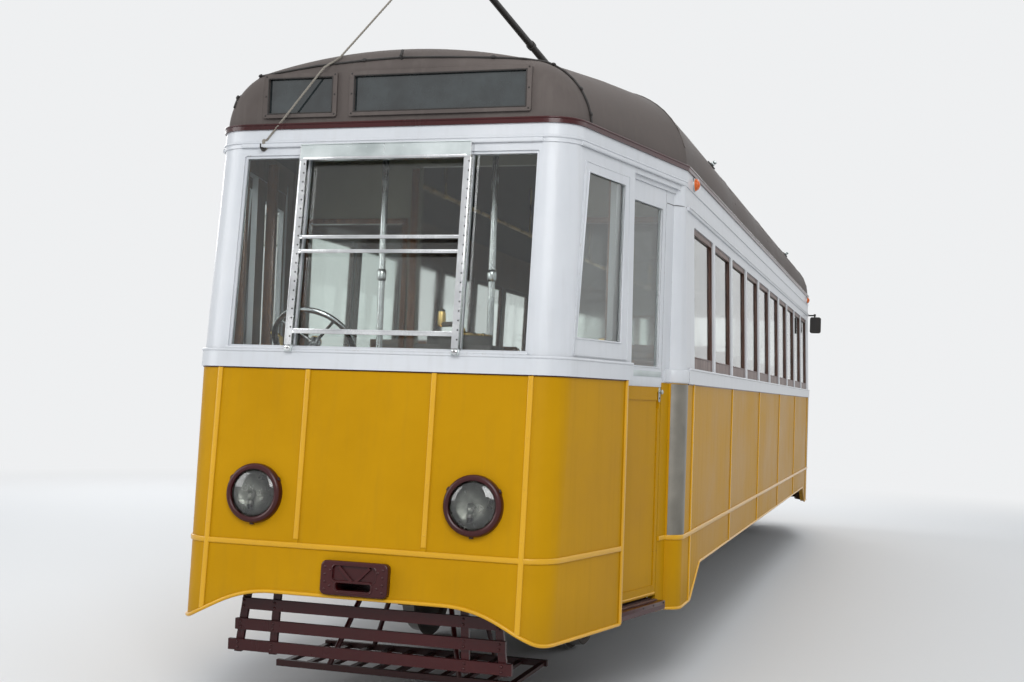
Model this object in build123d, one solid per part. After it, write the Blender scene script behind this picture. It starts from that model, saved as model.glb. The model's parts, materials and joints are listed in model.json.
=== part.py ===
from build123d import *
import os
from math import atan, atan2, cos, degrees, hypot, radians, sin, tan

# Body plan, one quarter: straight side, straight taper, rounded corner, flat end
half_width = 1190.0
taper_start_y = 4200.0
end_y = 5600.0
vertex_x = 867.0
corner_radius = 155.0

# Heights above the lowest point of the wheels
waist_z = 1550.0
panel_low_z = 340.0
skirt_z = 570.0
jamb_low_z = 400.0
end_arch_z = 552.0
end_corner_z = 408.0
batten_z = 761.0
sill_top_z = 1630.0
frieze_z = 2580.0
moulding_z = 2665.0
roof_base_z = 2690.0

# Leans, as run per unit of height
side_lean = 0.032
upper_end_lean = 0.100
lower_end_lean = 0.079

# Shell and trim thicknesses
wall = 40.0
skin = 20.0
trim_proud = 6.0
sill_proud = 12.0
frieze_proud = 5.0
moulding_proud = 13.0
batten_width = 22.0

# Saloon windows
window_pitch = 800.0
window_count = 10
window_width = 724.0
window_low_z = 1620.0
window_high_z = 2400.0
window_corner = 22.0
sash_stile = 34.0
sash_top = 30.0
sash_bottom = 78.0
sash_thickness = 26.0
glass_thickness = 6.0

# Doorway, measured along the taper from the side's turn (s) and outward (n)
jamb_edge_s = 212.0
panel_edge_s = 745.0
post_low_s = 705.0
post_high_s = 655.0
leaf_start_s = 218.0
leaf_end_s = 815.0
leaf_face_n = -56.0
leaf_thickness = 30.0
leaf_low_z = 480.0
leaf_high_z = 2530.0
leaf_split_z = 1530.0
lintel_z = 2552.0
lintel_curve = 130.0
jamb_round = 83.0
cover_edge_s = 110.0
cover_low_z = 765.0
cover_thickness = 2.5

# Windscreen, in the leaning plane of the upper end
screen_half = 720.0
screen_low_z = 1642.0
screen_high_z = 2548.0
screen_rail = 12.0
screen_round = 10.0
channel_x = 400.0
channel_width = 34.0

# Floors and underframe
floor_z = 860.0
platform_z = 720.0
floor_thickness = 40.0
sole_x = 1040.0
bearer_x = 150.0
bogie_centre_y = 2750.0
bogie_half_base = 725.0
kingpin_radius = 28.0

# Wheels, metre-class narrow gauge
gauge = 900.0
flange_radius = 343.0
tread_radius = 318.0
axle_z = 343.0
axle_radius = 62.0
journal_radius = 45.0
running_gap = 0.5

# Roof sections: station y, half width, rise, side arc radius
roof_stations = [
    (3600.0, 1154.0, 510.0, 420.0),
    (4200.0, 1152.5, 494.0, 410.0),
    (4700.0, 1037.0, 454.0, 372.0),
    (5100.0, 945.0, 406.0, 326.0),
    (5460.0, 862.0, 352.0, 280.0),
]
roof_end_round = 130.0
roof_skin = 35.0

# Hand wheel of the brake
wheel_rim = 200.0

# Trolley
pole_hinge_y = -180.0
pole_hinge_z = 3425.0
pole_tip_y = -4930.0
pole_tip_z = 3745.0

nodes = {}


def keep(name, *shapes):
    """Put the solids of some shapes into a node."""
    for shape in shapes:
        nodes.setdefault(name, []).extend(shape.solids())


def sides(shape):
    return [shape, shape.mirror(Plane.YZ)]


def ends(shape):
    return [shape.mirror(Plane.XZ), shape]


def corners(shape):
    return [two for one in ends(shape) for two in sides(one)]


def turned(shape):
    """A piece built at the +Y end, set at each end for that end's driver."""
    return [shape.mirror(Plane.XZ), shape.mirror(Plane.YZ)]


def box(x0, x1, y0, y1, z0, z1):
    return Pos(x0, y0, z0) * Box(
        x1 - x0, y1 - y0, z1 - z0, align=(Align.MIN, Align.MIN, Align.MIN)
    )


def rod(a, b, radius):
    """A round bar between two points."""
    way = Vector(*b) - Vector(*a)
    return extrude(Plane(origin=a, z_dir=way) * Circle(radius), way.length)


# Directions on the tapered flank of the +X +Y corner
taper = atan2(half_width - vertex_x, end_y - taper_start_y)
along_x, along_y = -sin(taper), cos(taper)
out_x, out_y = cos(taper), sin(taper)
flank = Plane(
    origin=(half_width, taper_start_y, 0),
    x_dir=(along_x, along_y, 0),
    z_dir=(out_x, out_y, 0),
)
side_angle = atan(side_lean)
side_upper = Plane(
    origin=(half_width, 0, waist_z),
    x_dir=(0, 1, 0),
    z_dir=(cos(side_angle), 0, sin(side_angle)),
)
end_angle_up = atan(upper_end_lean)
end_upper = Plane(
    origin=(0, end_y, waist_z),
    x_dir=(-1, 0, 0),
    z_dir=(0, cos(end_angle_up), sin(end_angle_up)),
)
end_angle_low = atan(lower_end_lean)
end_lower = Plane(
    origin=(0, end_y, waist_z),
    x_dir=(-1, 0, 0),
    z_dir=(0, cos(end_angle_low), sin(end_angle_low)),
)


flank_upper = Plane(
    origin=(half_width, taper_start_y, waist_z),
    x_dir=(along_x, along_y, 0),
    z_dir=(
        out_x * cos(side_angle),
        out_y * cos(side_angle),
        sin(side_angle),
    ),
)


def on_flank(s, n=0.0):
    """Plan point at s along the flank and n outward of it."""
    return (
        half_width + s * along_x + n * out_x,
        taper_start_y + s * along_y + n * out_y,
    )


def flank_box(s0, s1, n0, n1, z0, z1):
    sketch = Pos((s0 + s1) / 2, (z0 + z1) / 2) * Rectangle(s1 - s0, z1 - z0)
    return extrude(flank.offset(n0) * sketch, n1 - n0)


def outline(z, inset, upper):
    """The body's closed outline at a height, moved in by inset."""
    up = z - waist_z
    lean = side_lean * up if upper else 0.0
    end_lean = upper_end_lean if upper else lower_end_lean
    moved = lean + inset
    reach = out_x * half_width + out_y * taper_start_y - moved
    side_x = half_width - moved
    turn_y = (reach - out_x * side_x) / out_y
    front_y = end_y - end_lean * up - inset
    tip_x = (reach - out_y * front_y) / out_x
    radius = corner_radius - inset
    cut = radius * tan((radians(90) - taper) / 2)
    start = (tip_x - cut * along_x, front_y - cut * along_y)
    finish = (tip_x - cut, front_y)
    half = (radians(90) + taper) / 2
    middle = (
        finish[0] + radius * cos(half),
        front_y - radius + radius * sin(half),
    )
    turn = (side_x, turn_y)

    def at(point, sx, sy):
        return (point[0] * sx, point[1] * sy, z)

    edges = [Line(at(turn, 1, -1), at(turn, 1, 1))]
    edges.append(Line(at(turn, 1, 1), at(start, 1, 1)))
    edges.append(ThreePointArc(at(start, 1, 1), at(middle, 1, 1), at(finish, 1, 1)))
    edges.append(Line(at(finish, 1, 1), at(finish, -1, 1)))
    edges.append(ThreePointArc(at(finish, -1, 1), at(middle, -1, 1), at(start, -1, 1)))
    edges.append(Line(at(start, -1, 1), at(turn, -1, 1)))
    edges.append(Line(at(turn, -1, 1), at(turn, -1, -1)))
    edges.append(Line(at(turn, -1, -1), at(start, -1, -1)))
    edges.append(
        ThreePointArc(at(start, -1, -1), at(middle, -1, -1), at(finish, -1, -1))
    )
    edges.append(Line(at(finish, -1, -1), at(finish, 1, -1)))
    edges.append(ThreePointArc(at(finish, 1, -1), at(middle, 1, -1), at(start, 1, -1)))
    edges.append(Line(at(start, 1, -1), at(turn, 1, -1)))
    return Wire(edges)


def hull(z0, z1, inset, upper):
    wires = [outline(z0, inset, upper), outline(z1, inset, upper)]
    return Solid.make_loft(wires, ruled=True)


def ring(z0, z1, outer, inner, upper):
    """A wall or moulding that runs round the whole car."""
    return hull(z0, z1, outer, upper) - hull(z0 - 5, z1 + 5, inner, upper)


# Doorway posts that turn from the side into the recess
def jamb_profile(z, lean, deep=wall):
    """Plan of the rounded post, with its outer faces moved in by lean."""
    face = half_width - lean
    side_y = taper_start_y + 15
    recess = on_flank(0, leaf_face_n)
    run = (side_y + jamb_round - recess[1]) / along_y
    foot = on_flank(run, leaf_face_n)
    edge = on_flank(jamb_edge_s, leaf_face_n)
    back = on_flank(jamb_edge_s, leaf_face_n - deep)
    inner = on_flank(run - 12, leaf_face_n - deep)
    mid = (
        foot[0] + (face - foot[0]) * cos(radians(45)),
        side_y + jamb_round * sin(radians(45)),
    )
    lines = [
        Line((face, taper_start_y - 10, z), (face, side_y, z)),
        ThreePointArc((face, side_y, z), (mid[0], mid[1], z), (foot[0], foot[1], z)),
        Line((foot[0], foot[1], z), (edge[0], edge[1], z)),
        Line((edge[0], edge[1], z), (back[0], back[1], z)),
        Line((back[0], back[1], z), (inner[0], inner[1], z)),
        Line((inner[0], inner[1], z), (face - deep, side_y - 5, z)),
        Line((face - deep, side_y - 5, z), (face - deep, taper_start_y - 10, z)),
        Line((face - deep, taper_start_y - 10, z), (face, taper_start_y - 10, z)),
    ]
    return Wire(lines)


lean_top = side_lean * (lintel_z + 30 - waist_z)
jamb_low = Solid.make_loft(
    [jamb_profile(jamb_low_z, 0), jamb_profile(waist_z, 0)], ruled=True
)
jamb_high = Solid.make_loft(
    [jamb_profile(waist_z, 0), jamb_profile(lintel_z + 30, lean_top)], ruled=True
)

# Lower bodywork
lower = ring(panel_low_z, waist_z, 0, wall, False)
batten_half = batten_width / 2
batten_ring = ring(
    batten_z - batten_half, batten_z + batten_half, -trim_proud, 5, False
)
flank_cut = flank_box(-10, panel_edge_s, -60, 60, 300, waist_z + 10)

side_band = box(-2000, 2000, -taper_start_y + 10, taper_start_y - 10, 0, 3000)
side_low = lower & side_band
side_low += batten_ring & side_band
for index in range(6):
    y = -4000 + 1600 * index
    strip = box(
        half_width - 5,
        half_width + trim_proud,
        y - batten_half,
        y + batten_half,
        panel_low_z,
        waist_z,
    )
    side_low += sides(strip)
skirt_sketch = make_face(
    Polyline(
        (-4600, 200),
        (-4600, jamb_low_z),
        (-3960, jamb_low_z),
        (-3640, skirt_z),
        (3640, skirt_z),
        (3960, jamb_low_z),
        (4600, jamb_low_z),
        (4600, 200),
        close=True,
    )
)
knees = skirt_sketch.vertices().filter_by(
    lambda v: abs(abs(v.X) - 3640) < 1 or abs(abs(v.X) - 3960) < 1
)
skirt_sketch = fillet(knees, 230)
side_plane = Plane(origin=(0, 0, 0), x_dir=(0, 1, 0), z_dir=(1, 0, 0))
skirt_cut = extrude(side_plane * skirt_sketch, 1500, both=True)
side_low -= skirt_cut
jambs_low = corners(jamb_low)
for piece in jambs_low:
    side_low += piece
keep("side_panels", side_low)

# Bright covers wrapped on the rounded posts
cover = Solid.make_loft(
    [
        jamb_profile(cover_low_z, -cover_thickness, 12),
        jamb_profile(waist_z - 4, -cover_thickness, 12),
    ],
    ruled=True,
)
cover_cut = Solid.make_loft(
    [jamb_profile(cover_low_z - 5, 0, 60), jamb_profile(waist_z, 0, 60)], ruled=True
)
cover = cover - cover_cut - box(0, 2000, 0, taper_start_y - 8, 0, 3000)
cover -= flank_box(cover_edge_s, 400, -100, 20, 300, 2000)
cover = Compound(
    [s for s in cover.solids() if s.volume > 20000 and s.bounding_box().max.X > 1150]
)
keep("jamb_covers", *corners(cover))

# Yellow ends with their arched lower edge
end_zone = box(-2000, 2000, taper_start_y + 100, 6500, 0, 3000)
end_low = (lower + batten_ring) & end_zone
end_low -= Compound(sides(flank_cut))
arch = make_face(
    Polyline(
        (-1300, 200),
        (-1300, end_corner_z),
        (-830, end_corner_z),
        (-540, end_arch_z),
        (540, end_arch_z),
        (830, end_corner_z),
        (1300, end_corner_z),
        (1300, 200),
        close=True,
    )
)
arch = fillet(arch.vertices().filter_by(lambda v: abs(abs(v.X) - 540) < 1), 600)
arch = fillet(arch.vertices().filter_by(lambda v: abs(abs(v.X) - 830) < 1), 130)
arch_cut = extrude(Plane(origin=(0, 6500, 0), x_dir=(1, 0, 0), z_dir=(0, -1, 0)) * arch, 2600)
end_battens = [(744.0, -1200.0), (303.0, batten_z - waist_z)]
for x, low in end_battens:
    strip = Pos(x, low / 2 - 1) * Rectangle(batten_width, -low - 2)
    strip = extrude(end_lower.offset(-6) * strip, trim_proud + 4)
    end_low += sides(strip)
end_low -= arch_cut
edge_bead = flank_box(panel_edge_s, panel_edge_s + 22, -wall + 5, 8, end_corner_z, waist_z)
end_low += sides(edge_bead)
pocket_window = Pos(0, 631 - waist_z) * Rectangle(312, 132)
end_low -= extrude(end_lower.offset(-80) * pocket_window, 120)
pocket_relief = flank_box(panel_edge_s - 5, 1330, -100, -skin, 300, waist_z + 10)
end_low -= sides(pocket_relief)
keep("dashes", *ends(Compound(end_low.solids())))

# Upper bodywork
upper = ring(waist_z, roof_base_z, 0, wall, True)
upper += ring(waist_z, sill_top_z, -sill_proud, 5, True)
upper += ring(frieze_z, moulding_z, -frieze_proud, 5, True)
side_up = upper & side_band
window_middle = (window_low_z + window_high_z) / 2 - waist_z
window_height = window_high_z - window_low_z
window_ys = [(i - (window_count - 1) / 2) * window_pitch for i in range(window_count)]
window_shape = RectangleRounded(window_width, window_height, window_corner)
window_cut = extrude(
    side_upper.offset(-80) * (Pos(window_ys[0], window_middle) * window_shape), 140
)
cuts = [Pos(0, y - window_ys[0], 0) * window_cut for y in window_ys]
cuts += [cut.mirror(Plane.YZ) for cut in cuts]
side_up -= Compound(cuts)
keep("window_walls", side_up)

end_up = upper & box(-2000, 2000, taper_start_y - 10, 6500, 0, 3000)
door_shape = make_face(
    Polyline(
        (-5, waist_z - 20),
        (-5, lintel_z),
        (post_high_s, lintel_z),
        (post_low_s, waist_z - 20),
        close=True,
    )
)
door_shape = fillet(
    door_shape.vertices().filter_by(lambda v: v.X < 0 and v.Y > lintel_z - 1),
    lintel_curve,
)
door_cut = extrude(flank.offset(-120) * door_shape, 200)
end_up -= sides(door_cut)
screen_mid = (screen_low_z + screen_high_z) / 2 - waist_z
screen_cut = extrude(
    end_upper.offset(-90)
    * (
        Pos(0, screen_mid)
        * RectangleRounded(2 * screen_half, screen_high_z - screen_low_z, screen_round)
    ),
    150,
)
end_up -= screen_cut
quarter_shape = make_face(
    Polyline((755, 90), (1312, 90), (1192, 972), (722, 972), close=True)
)
quarter_shape = fillet(quarter_shape.vertices(), 10)
quarter_cut = extrude(flank_upper.offset(-150) * quarter_shape, 220)
end_up -= sides(quarter_cut)
end_up -= sides(flank_box(post_high_s - 10, 1245, -110, -49, waist_z - 10, lintel_z))
track = flank_box(
    60, 1232, leaf_face_n - leaf_thickness - 4, -47, leaf_high_z + 0.3, lintel_z + 30
)
end_up += sides(track)
end_up += sides(jamb_high)
keep("end_shells", *ends(Compound(end_up.solids())))

# Maroon moulding under the roof
keep("cornice_trim", ring(moulding_z, roof_base_z, -moulding_proud, 0, True))


# Roof
def roof_section(y, half, rise, arc, inset=0.0):
    half -= inset
    rise -= inset
    arc -= inset
    crown = ((half - arc) ** 2 + rise**2 - arc**2) / (2 * (rise - arc))
    base = roof_base_z
    side_centre = (half - arc, base)
    crown_z = base + rise - crown
    way = atan2(base - crown_z, half - arc)
    join = (crown * cos(way), crown_z + crown * sin(way))
    mid = (side_centre[0] + arc * cos(way / 2), base + arc * sin(way / 2))
    return Wire(
        [
            Line((-half, y, base), (half, y, base)),
            ThreePointArc(
                (half, y, base), (mid[0], y, mid[1]), (join[0], y, join[1])
            ),
            ThreePointArc(
                (join[0], y, join[1]), (0, y, base + rise), (-join[0], y, join[1])
            ),
            ThreePointArc(
                (-join[0], y, join[1]), (-mid[0], y, mid[1]), (-half, y, base)
            ),
        ]
    )


def roof_solid(inset):
    rows = [(y, a, h, r) for y, a, h, r in roof_stations]
    last = rows[-1]
    rows[-1] = (last[0] - inset, last[1], last[2], last[3])
    table = [(-y, a, h, r) for y, a, h, r in reversed(rows)] + rows
    solid = Solid.make_loft(
        [roof_section(y, a, h, r, inset) for y, a, h, r in table], ruled=True
    )
    tips = [
        e
        for e in solid.edges()
        if abs(abs(e.center().Y) - rows[-1][0]) < 0.5 and e.center().Z > roof_base_z + 20
    ]
    return solid.fillet(roof_end_round - inset, tips)


roof_outer = roof_solid(0)
roof_inner = roof_solid(roof_skin)
roof = roof_outer - (Pos(0, 0, -0.01) * roof_inner)

# Blind sign boxes let into each end of the roof: x from, x to, z from, z to
sign_boxes = [(-627.0, -300.0, 2745.0, 2912.0), (-190.0, 640.0, 2745.0, 2912.0)]
fascia_y = roof_stations[-1][0]
sign_pockets = []
for x0, x1, z0, z1 in sign_boxes:
    hole = box(x0, x1, fascia_y - 150, fascia_y + 60, z0, z1)
    roof -= turned(hole)
    frame = box(x0 - 24, x1 + 24, fascia_y - 20, fascia_y + 14, z0 - 20, z1 + 22)
    frame = fillet(frame.edges().filter_by(Axis.Y), 10)
    frame -= hole
    frame -= roof_outer
    keep("sign_frames", *turned(frame))
    glass = box(x0, x1, fascia_y - 8, fascia_y - 2, z0, z1)
    keep("sign_glass", *turned(glass))
keep("roof", roof)

# Saloon sashes and panes
sash = extrude(
    side_upper.offset(-10 - sash_thickness) * (Pos(0, window_middle) * window_shape),
    sash_thickness,
)
pane_width = window_width - 2 * sash_stile
pane_height = window_height - sash_bottom - sash_top
pane_middle = window_middle + (sash_bottom - sash_top) / 2
pane_shape = Pos(0, pane_middle) * Rectangle(pane_width, pane_height)
sash -= extrude(side_upper.offset(-60) * pane_shape, 80)
pane = extrude(side_upper.offset(-26) * pane_shape, glass_thickness)
for y in window_ys:
    keep("side_sashes", *sides(Pos(0, y, 0) * sash))
    keep("side_glass", *sides(Pos(0, y, 0) * pane))

# Windscreen: side panes, middle pane, channels, header and bars
screen_height = screen_high_z - screen_low_z
mullion = 13.0
wood = extrude(
    end_upper.offset(-34)
    * (
        Pos(0, screen_mid)
        * RectangleRounded(2 * screen_half, screen_height, screen_round)
    ),
    26,
)
opening = Pos(0, screen_mid) * Rectangle(
    2 * (channel_x - mullion), screen_height - 2 * screen_rail
)
wood -= extrude(end_upper.offset(-60) * opening, 90)
side_open = Pos(
    (channel_x + mullion + screen_half - screen_rail) / 2, screen_mid
) * Rectangle(
    screen_half - channel_x - mullion - screen_rail, screen_height - 2 * screen_rail
)
wood -= sides(extrude(end_upper.offset(-60) * side_open, 90))
keep("end_sashes", *ends(wood))
side_light = extrude(end_upper.offset(-24) * side_open, glass_thickness)
middle_light = extrude(end_upper.offset(-24) * opening, glass_thickness)
for piece in sides(side_light) + [middle_light]:
    keep("end_glass", *ends(piece))

channel_low, channel_high = 1652 - waist_z, 2580 - waist_z
channel = Pos(channel_x, (channel_low + channel_high) / 2) * Rectangle(
    channel_width, channel_high - channel_low
)
channel = extrude(end_upper.offset(sill_proud) * channel, 26)
slot = Pos(channel_x - 8, (channel_low + channel_high) / 2) * Rectangle(
    channel_width - 8, channel_high - channel_low
)
channel -= extrude(end_upper.offset(sill_proud + 8) * slot, 10)
header = Pos(0, (2510 + 2580) / 2 - waist_z) * Rectangle(2 * channel_x + channel_width, 70)
header = extrude(end_upper.offset(sill_proud + 4) * header, 26)
metal = [header] + sides(channel)
for height, deep in ((2086.0, 16.0), (2152.0, 16.0), (1717.0, 22.0)):
    bar = Pos(0, height - waist_z) * Rectangle(2 * channel_x - channel_width + 20, deep)
    metal.append(extrude(end_upper.offset(sill_proud + 9) * bar, 8))
frame = metal[0]
for piece in metal[1:]:
    frame += piece
feet = [(channel_x, 1640.0, 34.0), (channel_x, 2560.0, 34.0)]
for x, height, tall in feet:
    foot = Pos(x, height - waist_z) * Rectangle(channel_width, tall)
    frame += sides(extrude(end_upper * foot, sill_proud + 14))
keep("screen_guides", *ends(frame - Compound(end_up.solids())))

# Platform side windows
quarter_frame = extrude(flank_upper.offset(-16) * quarter_shape, 20)
quarter_open = make_face(
    Polyline((832, 170), (1288, 170), (1162, 925), (775, 925), close=True)
)
quarter_open = fillet(quarter_open.vertices(), 8)
quarter_frame -= extrude(flank_upper.offset(-60) * quarter_open, 90)
quarter_pane = extrude(flank_upper.offset(-10) * quarter_open, glass_thickness)
keep("end_sashes", *corners(quarter_frame))
keep("end_glass", *corners(quarter_pane))

# Platform and saloon floors
saloon_floor = box(
    -half_width + wall, half_width - wall, -4160, 4160, floor_z - floor_thickness, floor_z
)
keep("floor", saloon_floor)
edge_a = on_flank(230, -100)
edge_b = on_flank(1235, -100)
plan = make_face(
    Polyline(
        (-1030, 4160),
        (1030, 4160),
        (1030, 4395),
        edge_a,
        edge_b,
        (690, 5585),
        (-690, 5585),
        (-edge_b[0], edge_b[1]),
        (-edge_a[0], edge_a[1]),
        (-1030, 4395),
        close=True,
    )
)
deck = extrude(Pos(0, 0, platform_z - floor_thickness) * plan, floor_thickness)
well = flank_box(jamb_edge_s, panel_edge_s, -330, 0, 400, 800)
deck -= sides(well)
keep("platform_floors", *ends(deck))

# Steps hung in the doorways
tread = flank_box(jamb_edge_s + 3, panel_edge_s - 3, -330, 0, 416, 456)
tread = fillet(
    tread.edges().filter_by(lambda e: e.length > 400 and e.center().Z > 450), 8
)
riser = flank_box(jamb_edge_s + 3, panel_edge_s - 3, -330, -316, 440, platform_z - 2)
step = tread + riser
for s in (jamb_edge_s + 3, panel_edge_s - 13):
    step += flank_box(s, s + 10, -330, -104, 440, platform_z - 2)
keep("steps", *corners(step))

# Doors
leaf = flank_box(
    leaf_start_s,
    leaf_end_s,
    leaf_face_n - leaf_thickness,
    leaf_face_n,
    leaf_split_z,
    leaf_high_z,
)
leaf_glass_shape = Pos((255 + 660) / 2, (1627 + 2432) / 2) * RectangleRounded(405, 805, 8)
leaf -= extrude(flank.offset(-200) * leaf_glass_shape, 200)
leaf_pane = extrude(flank.offset(leaf_face_n - 18) * leaf_glass_shape, glass_thickness)
leaf_low = flank_box(
    leaf_start_s,
    leaf_end_s,
    leaf_face_n - leaf_thickness,
    leaf_face_n,
    leaf_low_z,
    leaf_split_z,
)
inset_panel = Pos((250 + 690) / 2, (530 + 1460) / 2) * Rectangle(440, 930)
leaf_low -= extrude(flank.offset(leaf_face_n - 5) * inset_panel, 20)
pull = Pos(248, 1460) * RectangleRounded(26, 90, 12)
leaf_low -= extrude(flank.offset(leaf_face_n - 14) * pull, 20)
door_names = ["front_right", "front_left", "rear_right", "rear_left"]
for name, upper_leaf, lower_leaf, glass in zip(
    door_names, corners(leaf), corners(leaf_low), corners(leaf_pane)
):
    keep(f"door_{name}_frame", upper_leaf)
    keep(f"door_{name}_panel", lower_leaf)
    keep(f"door_{name}_glass", glass)

# Bulkheads between saloon and platforms
bulk_y0, bulk_y1 = 4120.0, 4160.0
bulkhead = box(-1150, 1150, bulk_y0, bulk_y1, floor_z, 3300)
bulkhead &= hull(floor_z - 10, waist_z, wall + 0.3, False) + (
    hull(waist_z, roof_base_z, wall + 0.3, True)
    + (Pos(0, 0, -0.1) * roof_inner & box(-1112, 1112, 4000, 4300, 2600, 3300))
)
bulkhead -= box(-345, 345, 4000, 4300, floor_z - 10, 2720)
for x0, x1 in ((440, 1020), (-1020, -440)):
    bulkhead -= box(x0, x1, 4000, 4300, 1660, 2400)
keep("bulkheads", *ends(bulkhead))

# Seats: two-place benches beside an aisle
seat_rows = [-3200 + 800 * i for i in range(9)]
cushion = box(330, 1120, -235, 175, 1265, 1330)
cushion = fillet(cushion.edges().filter_by(Axis.X), 20)
rest = box(340, 1110, 200, 238, 1400, 1790)
rest = fillet(rest.edges().filter_by(Axis.Y), 40)
stand = box(400, 440, -150, 180, floor_z, 1265) + box(1000, 1040, -150, 180, floor_z, 1265)
for x in (400, 1000):
    stand += box(x, x + 40, 178, 200, floor_z + 300, 1700)
    stand -= box(x - 10, x + 50, -110, 140, floor_z + 60, 1200)
for y in seat_rows:
    for side in sides(Pos(0, y, 0) * cushion):
        keep("seat_benches", side)
    for side in sides(Pos(0, y, 0) * rest):
        keep("seat_benches", side)
    for side in sides(Pos(0, y, 0) * stand):
        keep("seat_stands", side)

# Driver's gear at each end
ctrl = box(120, 500, 5160, 5440, platform_z, 1680)
ctrl = fillet(ctrl.edges().filter_by(Axis.Z), 60)
ctrl = ctrl + Pos(310, 5300, 1680) * Cylinder(
    150, 46, align=(Align.CENTER, Align.CENTER, Align.MIN)
)
ctrl += rod((310, 5300, 1700), (310, 5300, 1790), 14)
ctrl += rod((300, 5300, 1780), (190, 5220, 1780), 12)
ctrl += rod((190, 5220, 1770), (190, 5220, 1850), 16)
keep("controllers", *turned(ctrl))
wheel_centre = Vector(-430.0, 5280.0, 1675.0)
wheel_tilt = radians(50)
wheel_axis = Vector(0, -sin(wheel_tilt), cos(wheel_tilt))
wheel_plane = Plane(origin=wheel_centre, x_dir=(1, 0, 0), z_dir=wheel_axis)
rim_section = Plane(origin=(wheel_rim, 0, 0), x_dir=(1, 0, 0), z_dir=(0, -1, 0))
brake = revolve(rim_section * RectangleRounded(26, 24, 9), Axis.Z)
for index in range(4):
    brake += Rot(0, 0, 45 + 90 * index) * rod((20, 0, 0), (wheel_rim - 6, 0, 0), 8)
brake += Cylinder(28, 40)
brake = wheel_plane * brake
foot = wheel_centre - wheel_axis * 100
brake += rod(tuple(foot), tuple(wheel_centre - wheel_axis * 10), 22)
brake += Pos(foot) * Sphere(27)
brake += rod((foot.X, foot.Y, platform_z), (foot.X, foot.Y, foot.Z), 20)
keep("brake_wheels", *turned(brake))
for x in (-295.0, 295.0):
    pole = rod((x, 4800, platform_z), (x, 4800, 3200), 17) - roof
    pole = pole.solids().sort_by(Axis.Z)[0]
    keep("grab_poles", *ends(pole))

# Headlamps
lamp_x, lamp_z = 520.0, 980.0
lamp = Pos(lamp_x, lamp_z - waist_z)
rim = extrude(end_lower.offset(-8) * (lamp * Circle(132)), 40)
rim = fillet(rim.edges().filter_by(lambda e: e.center().Y > end_y + 50), 12)
rim -= extrude(end_lower.offset(-3) * (lamp * Circle(108)), 80)
keep("headlamp_rims", *corners(rim - Compound(end_low.solids())))
lens = extrude(end_lower.offset(12) * (lamp * Circle(108)), 10)
keep("headlamp_glass", *corners(lens))
bowl = extrude(end_lower.offset(0) * (lamp * Circle(108)), 3)
bulb = extrude(end_lower.offset(3) * (lamp * Circle(16)), 6)
keep("headlamp_bowls", *corners(bowl + bulb))

# Coupler pockets: a flanged casting with a slot for the bar and a vertical pin
pocket_z = 632.0
slot_z = 598.0
pin_y = 5612.0
pin_radius = 17.0
pocket = extrude(end_lower * (Pos(0, pocket_z - waist_z) * RectangleRounded(318, 150, 26)), 34)
pocket = fillet(
    pocket.edges().filter_by(lambda e: e.center().Y > end_y + 95 and e.length > 20), 9
)
cup = Pos(0, 655 - waist_z) * RectangleRounded(204, 70, 18)
pocket -= extrude(end_lower.offset(22) * cup, 40)
for lean_way in (1, -1):
    rib = Pos(lean_way * 40, 650 - waist_z) * Rot(0, 0, lean_way * 45) * Rectangle(92, 13)
    pocket += extrude(end_lower.offset(20) * rib, 14)
pocket += extrude(
    end_lower.offset(-190) * (Pos(0, slot_z - waist_z) * Rectangle(230, 62)), 200
)
pocket -= extrude(
    end_lower.offset(-150)
    * (Pos(0, slot_z - waist_z) * RectangleRounded(164, 36, 14)),
    220,
)
pin_hole = Pos(0, pin_y, slot_z) * Cylinder(pin_radius, 160)
pocket -= pin_hole
keep("coupler_pockets", *ends(pocket))

# Underframe: rolled sections butted face to face
frame_low, frame_high = 706.0, floor_z - floor_thickness
sole = box(sole_x, sole_x + 60, -4110, 4110, 640, frame_high)
sole -= box(sole_x - 10, sole_x + 50, -4200, 4200, 652, frame_high - 12)
keep("underframe", *sides(sole))
beam_half, bolster_half = 40.0, 140.0
beam_ys = [0.0, 1100.0, 1700.0, 4070.0]
for y in beam_ys:
    beam = box(-sole_x, sole_x, y - beam_half, y + beam_half, frame_low, frame_high)
    beam -= box(
        -sole_x + 60, sole_x - 60, y - beam_half + 12, y + 60, frame_low + 12, frame_high - 12
    )
    keep("underframe", *([beam] if y == 0 else ends(beam)))
stops = [(y, beam_half) for y in beam_ys[:3]]
stops += [(bogie_centre_y, bolster_half), (beam_ys[3], beam_half)]
for (y0, half0), (y1, half1) in zip(stops, stops[1:]):
    run = box(220, 280, y0 + half0, y1 - half1, frame_low, frame_high)
    run -= box(210, 268, y0, y1, frame_low + 12, frame_high - 12)
    keep("underframe", *corners(run))
end_beam_y = beam_ys[3] + beam_half
hanger_depth = 45.0
for x0, x1, low in ((bearer_x, bearer_x + 130, 560.0), (600.0, 650.0, 600.0)):
    plate = box(x0, x1, end_beam_y, end_beam_y + hanger_depth, low, frame_high)
    keep("underframe", *corners(plate))
bolster = box(
    -sole_x + 12,
    sole_x - 12,
    bogie_centre_y - bolster_half,
    bogie_centre_y + bolster_half,
    700,
    frame_high,
)
bolster += box(-300, 300, bogie_centre_y - 140, bogie_centre_y + 140, 660, 720)
bolster += Pos(0, bogie_centre_y, 650) * Cylinder(190, 24)
bolster += Pos(0, bogie_centre_y, 570) * Cylinder(kingpin_radius, 190)
keep("body_bolsters", *ends(bolster))
deck_low = platform_z - floor_thickness
bearer_y = end_beam_y + hanger_depth
bearer = box(bearer_x, bearer_x + 60, bearer_y, 5560, 560, deck_low)
bearer -= box(bearer_x + 12, bearer_x + 80, bearer_y - 5, 5600, 572, deck_low - 12)
outer = box(600, 650, bearer_y, 5420, 600, deck_low)
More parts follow.
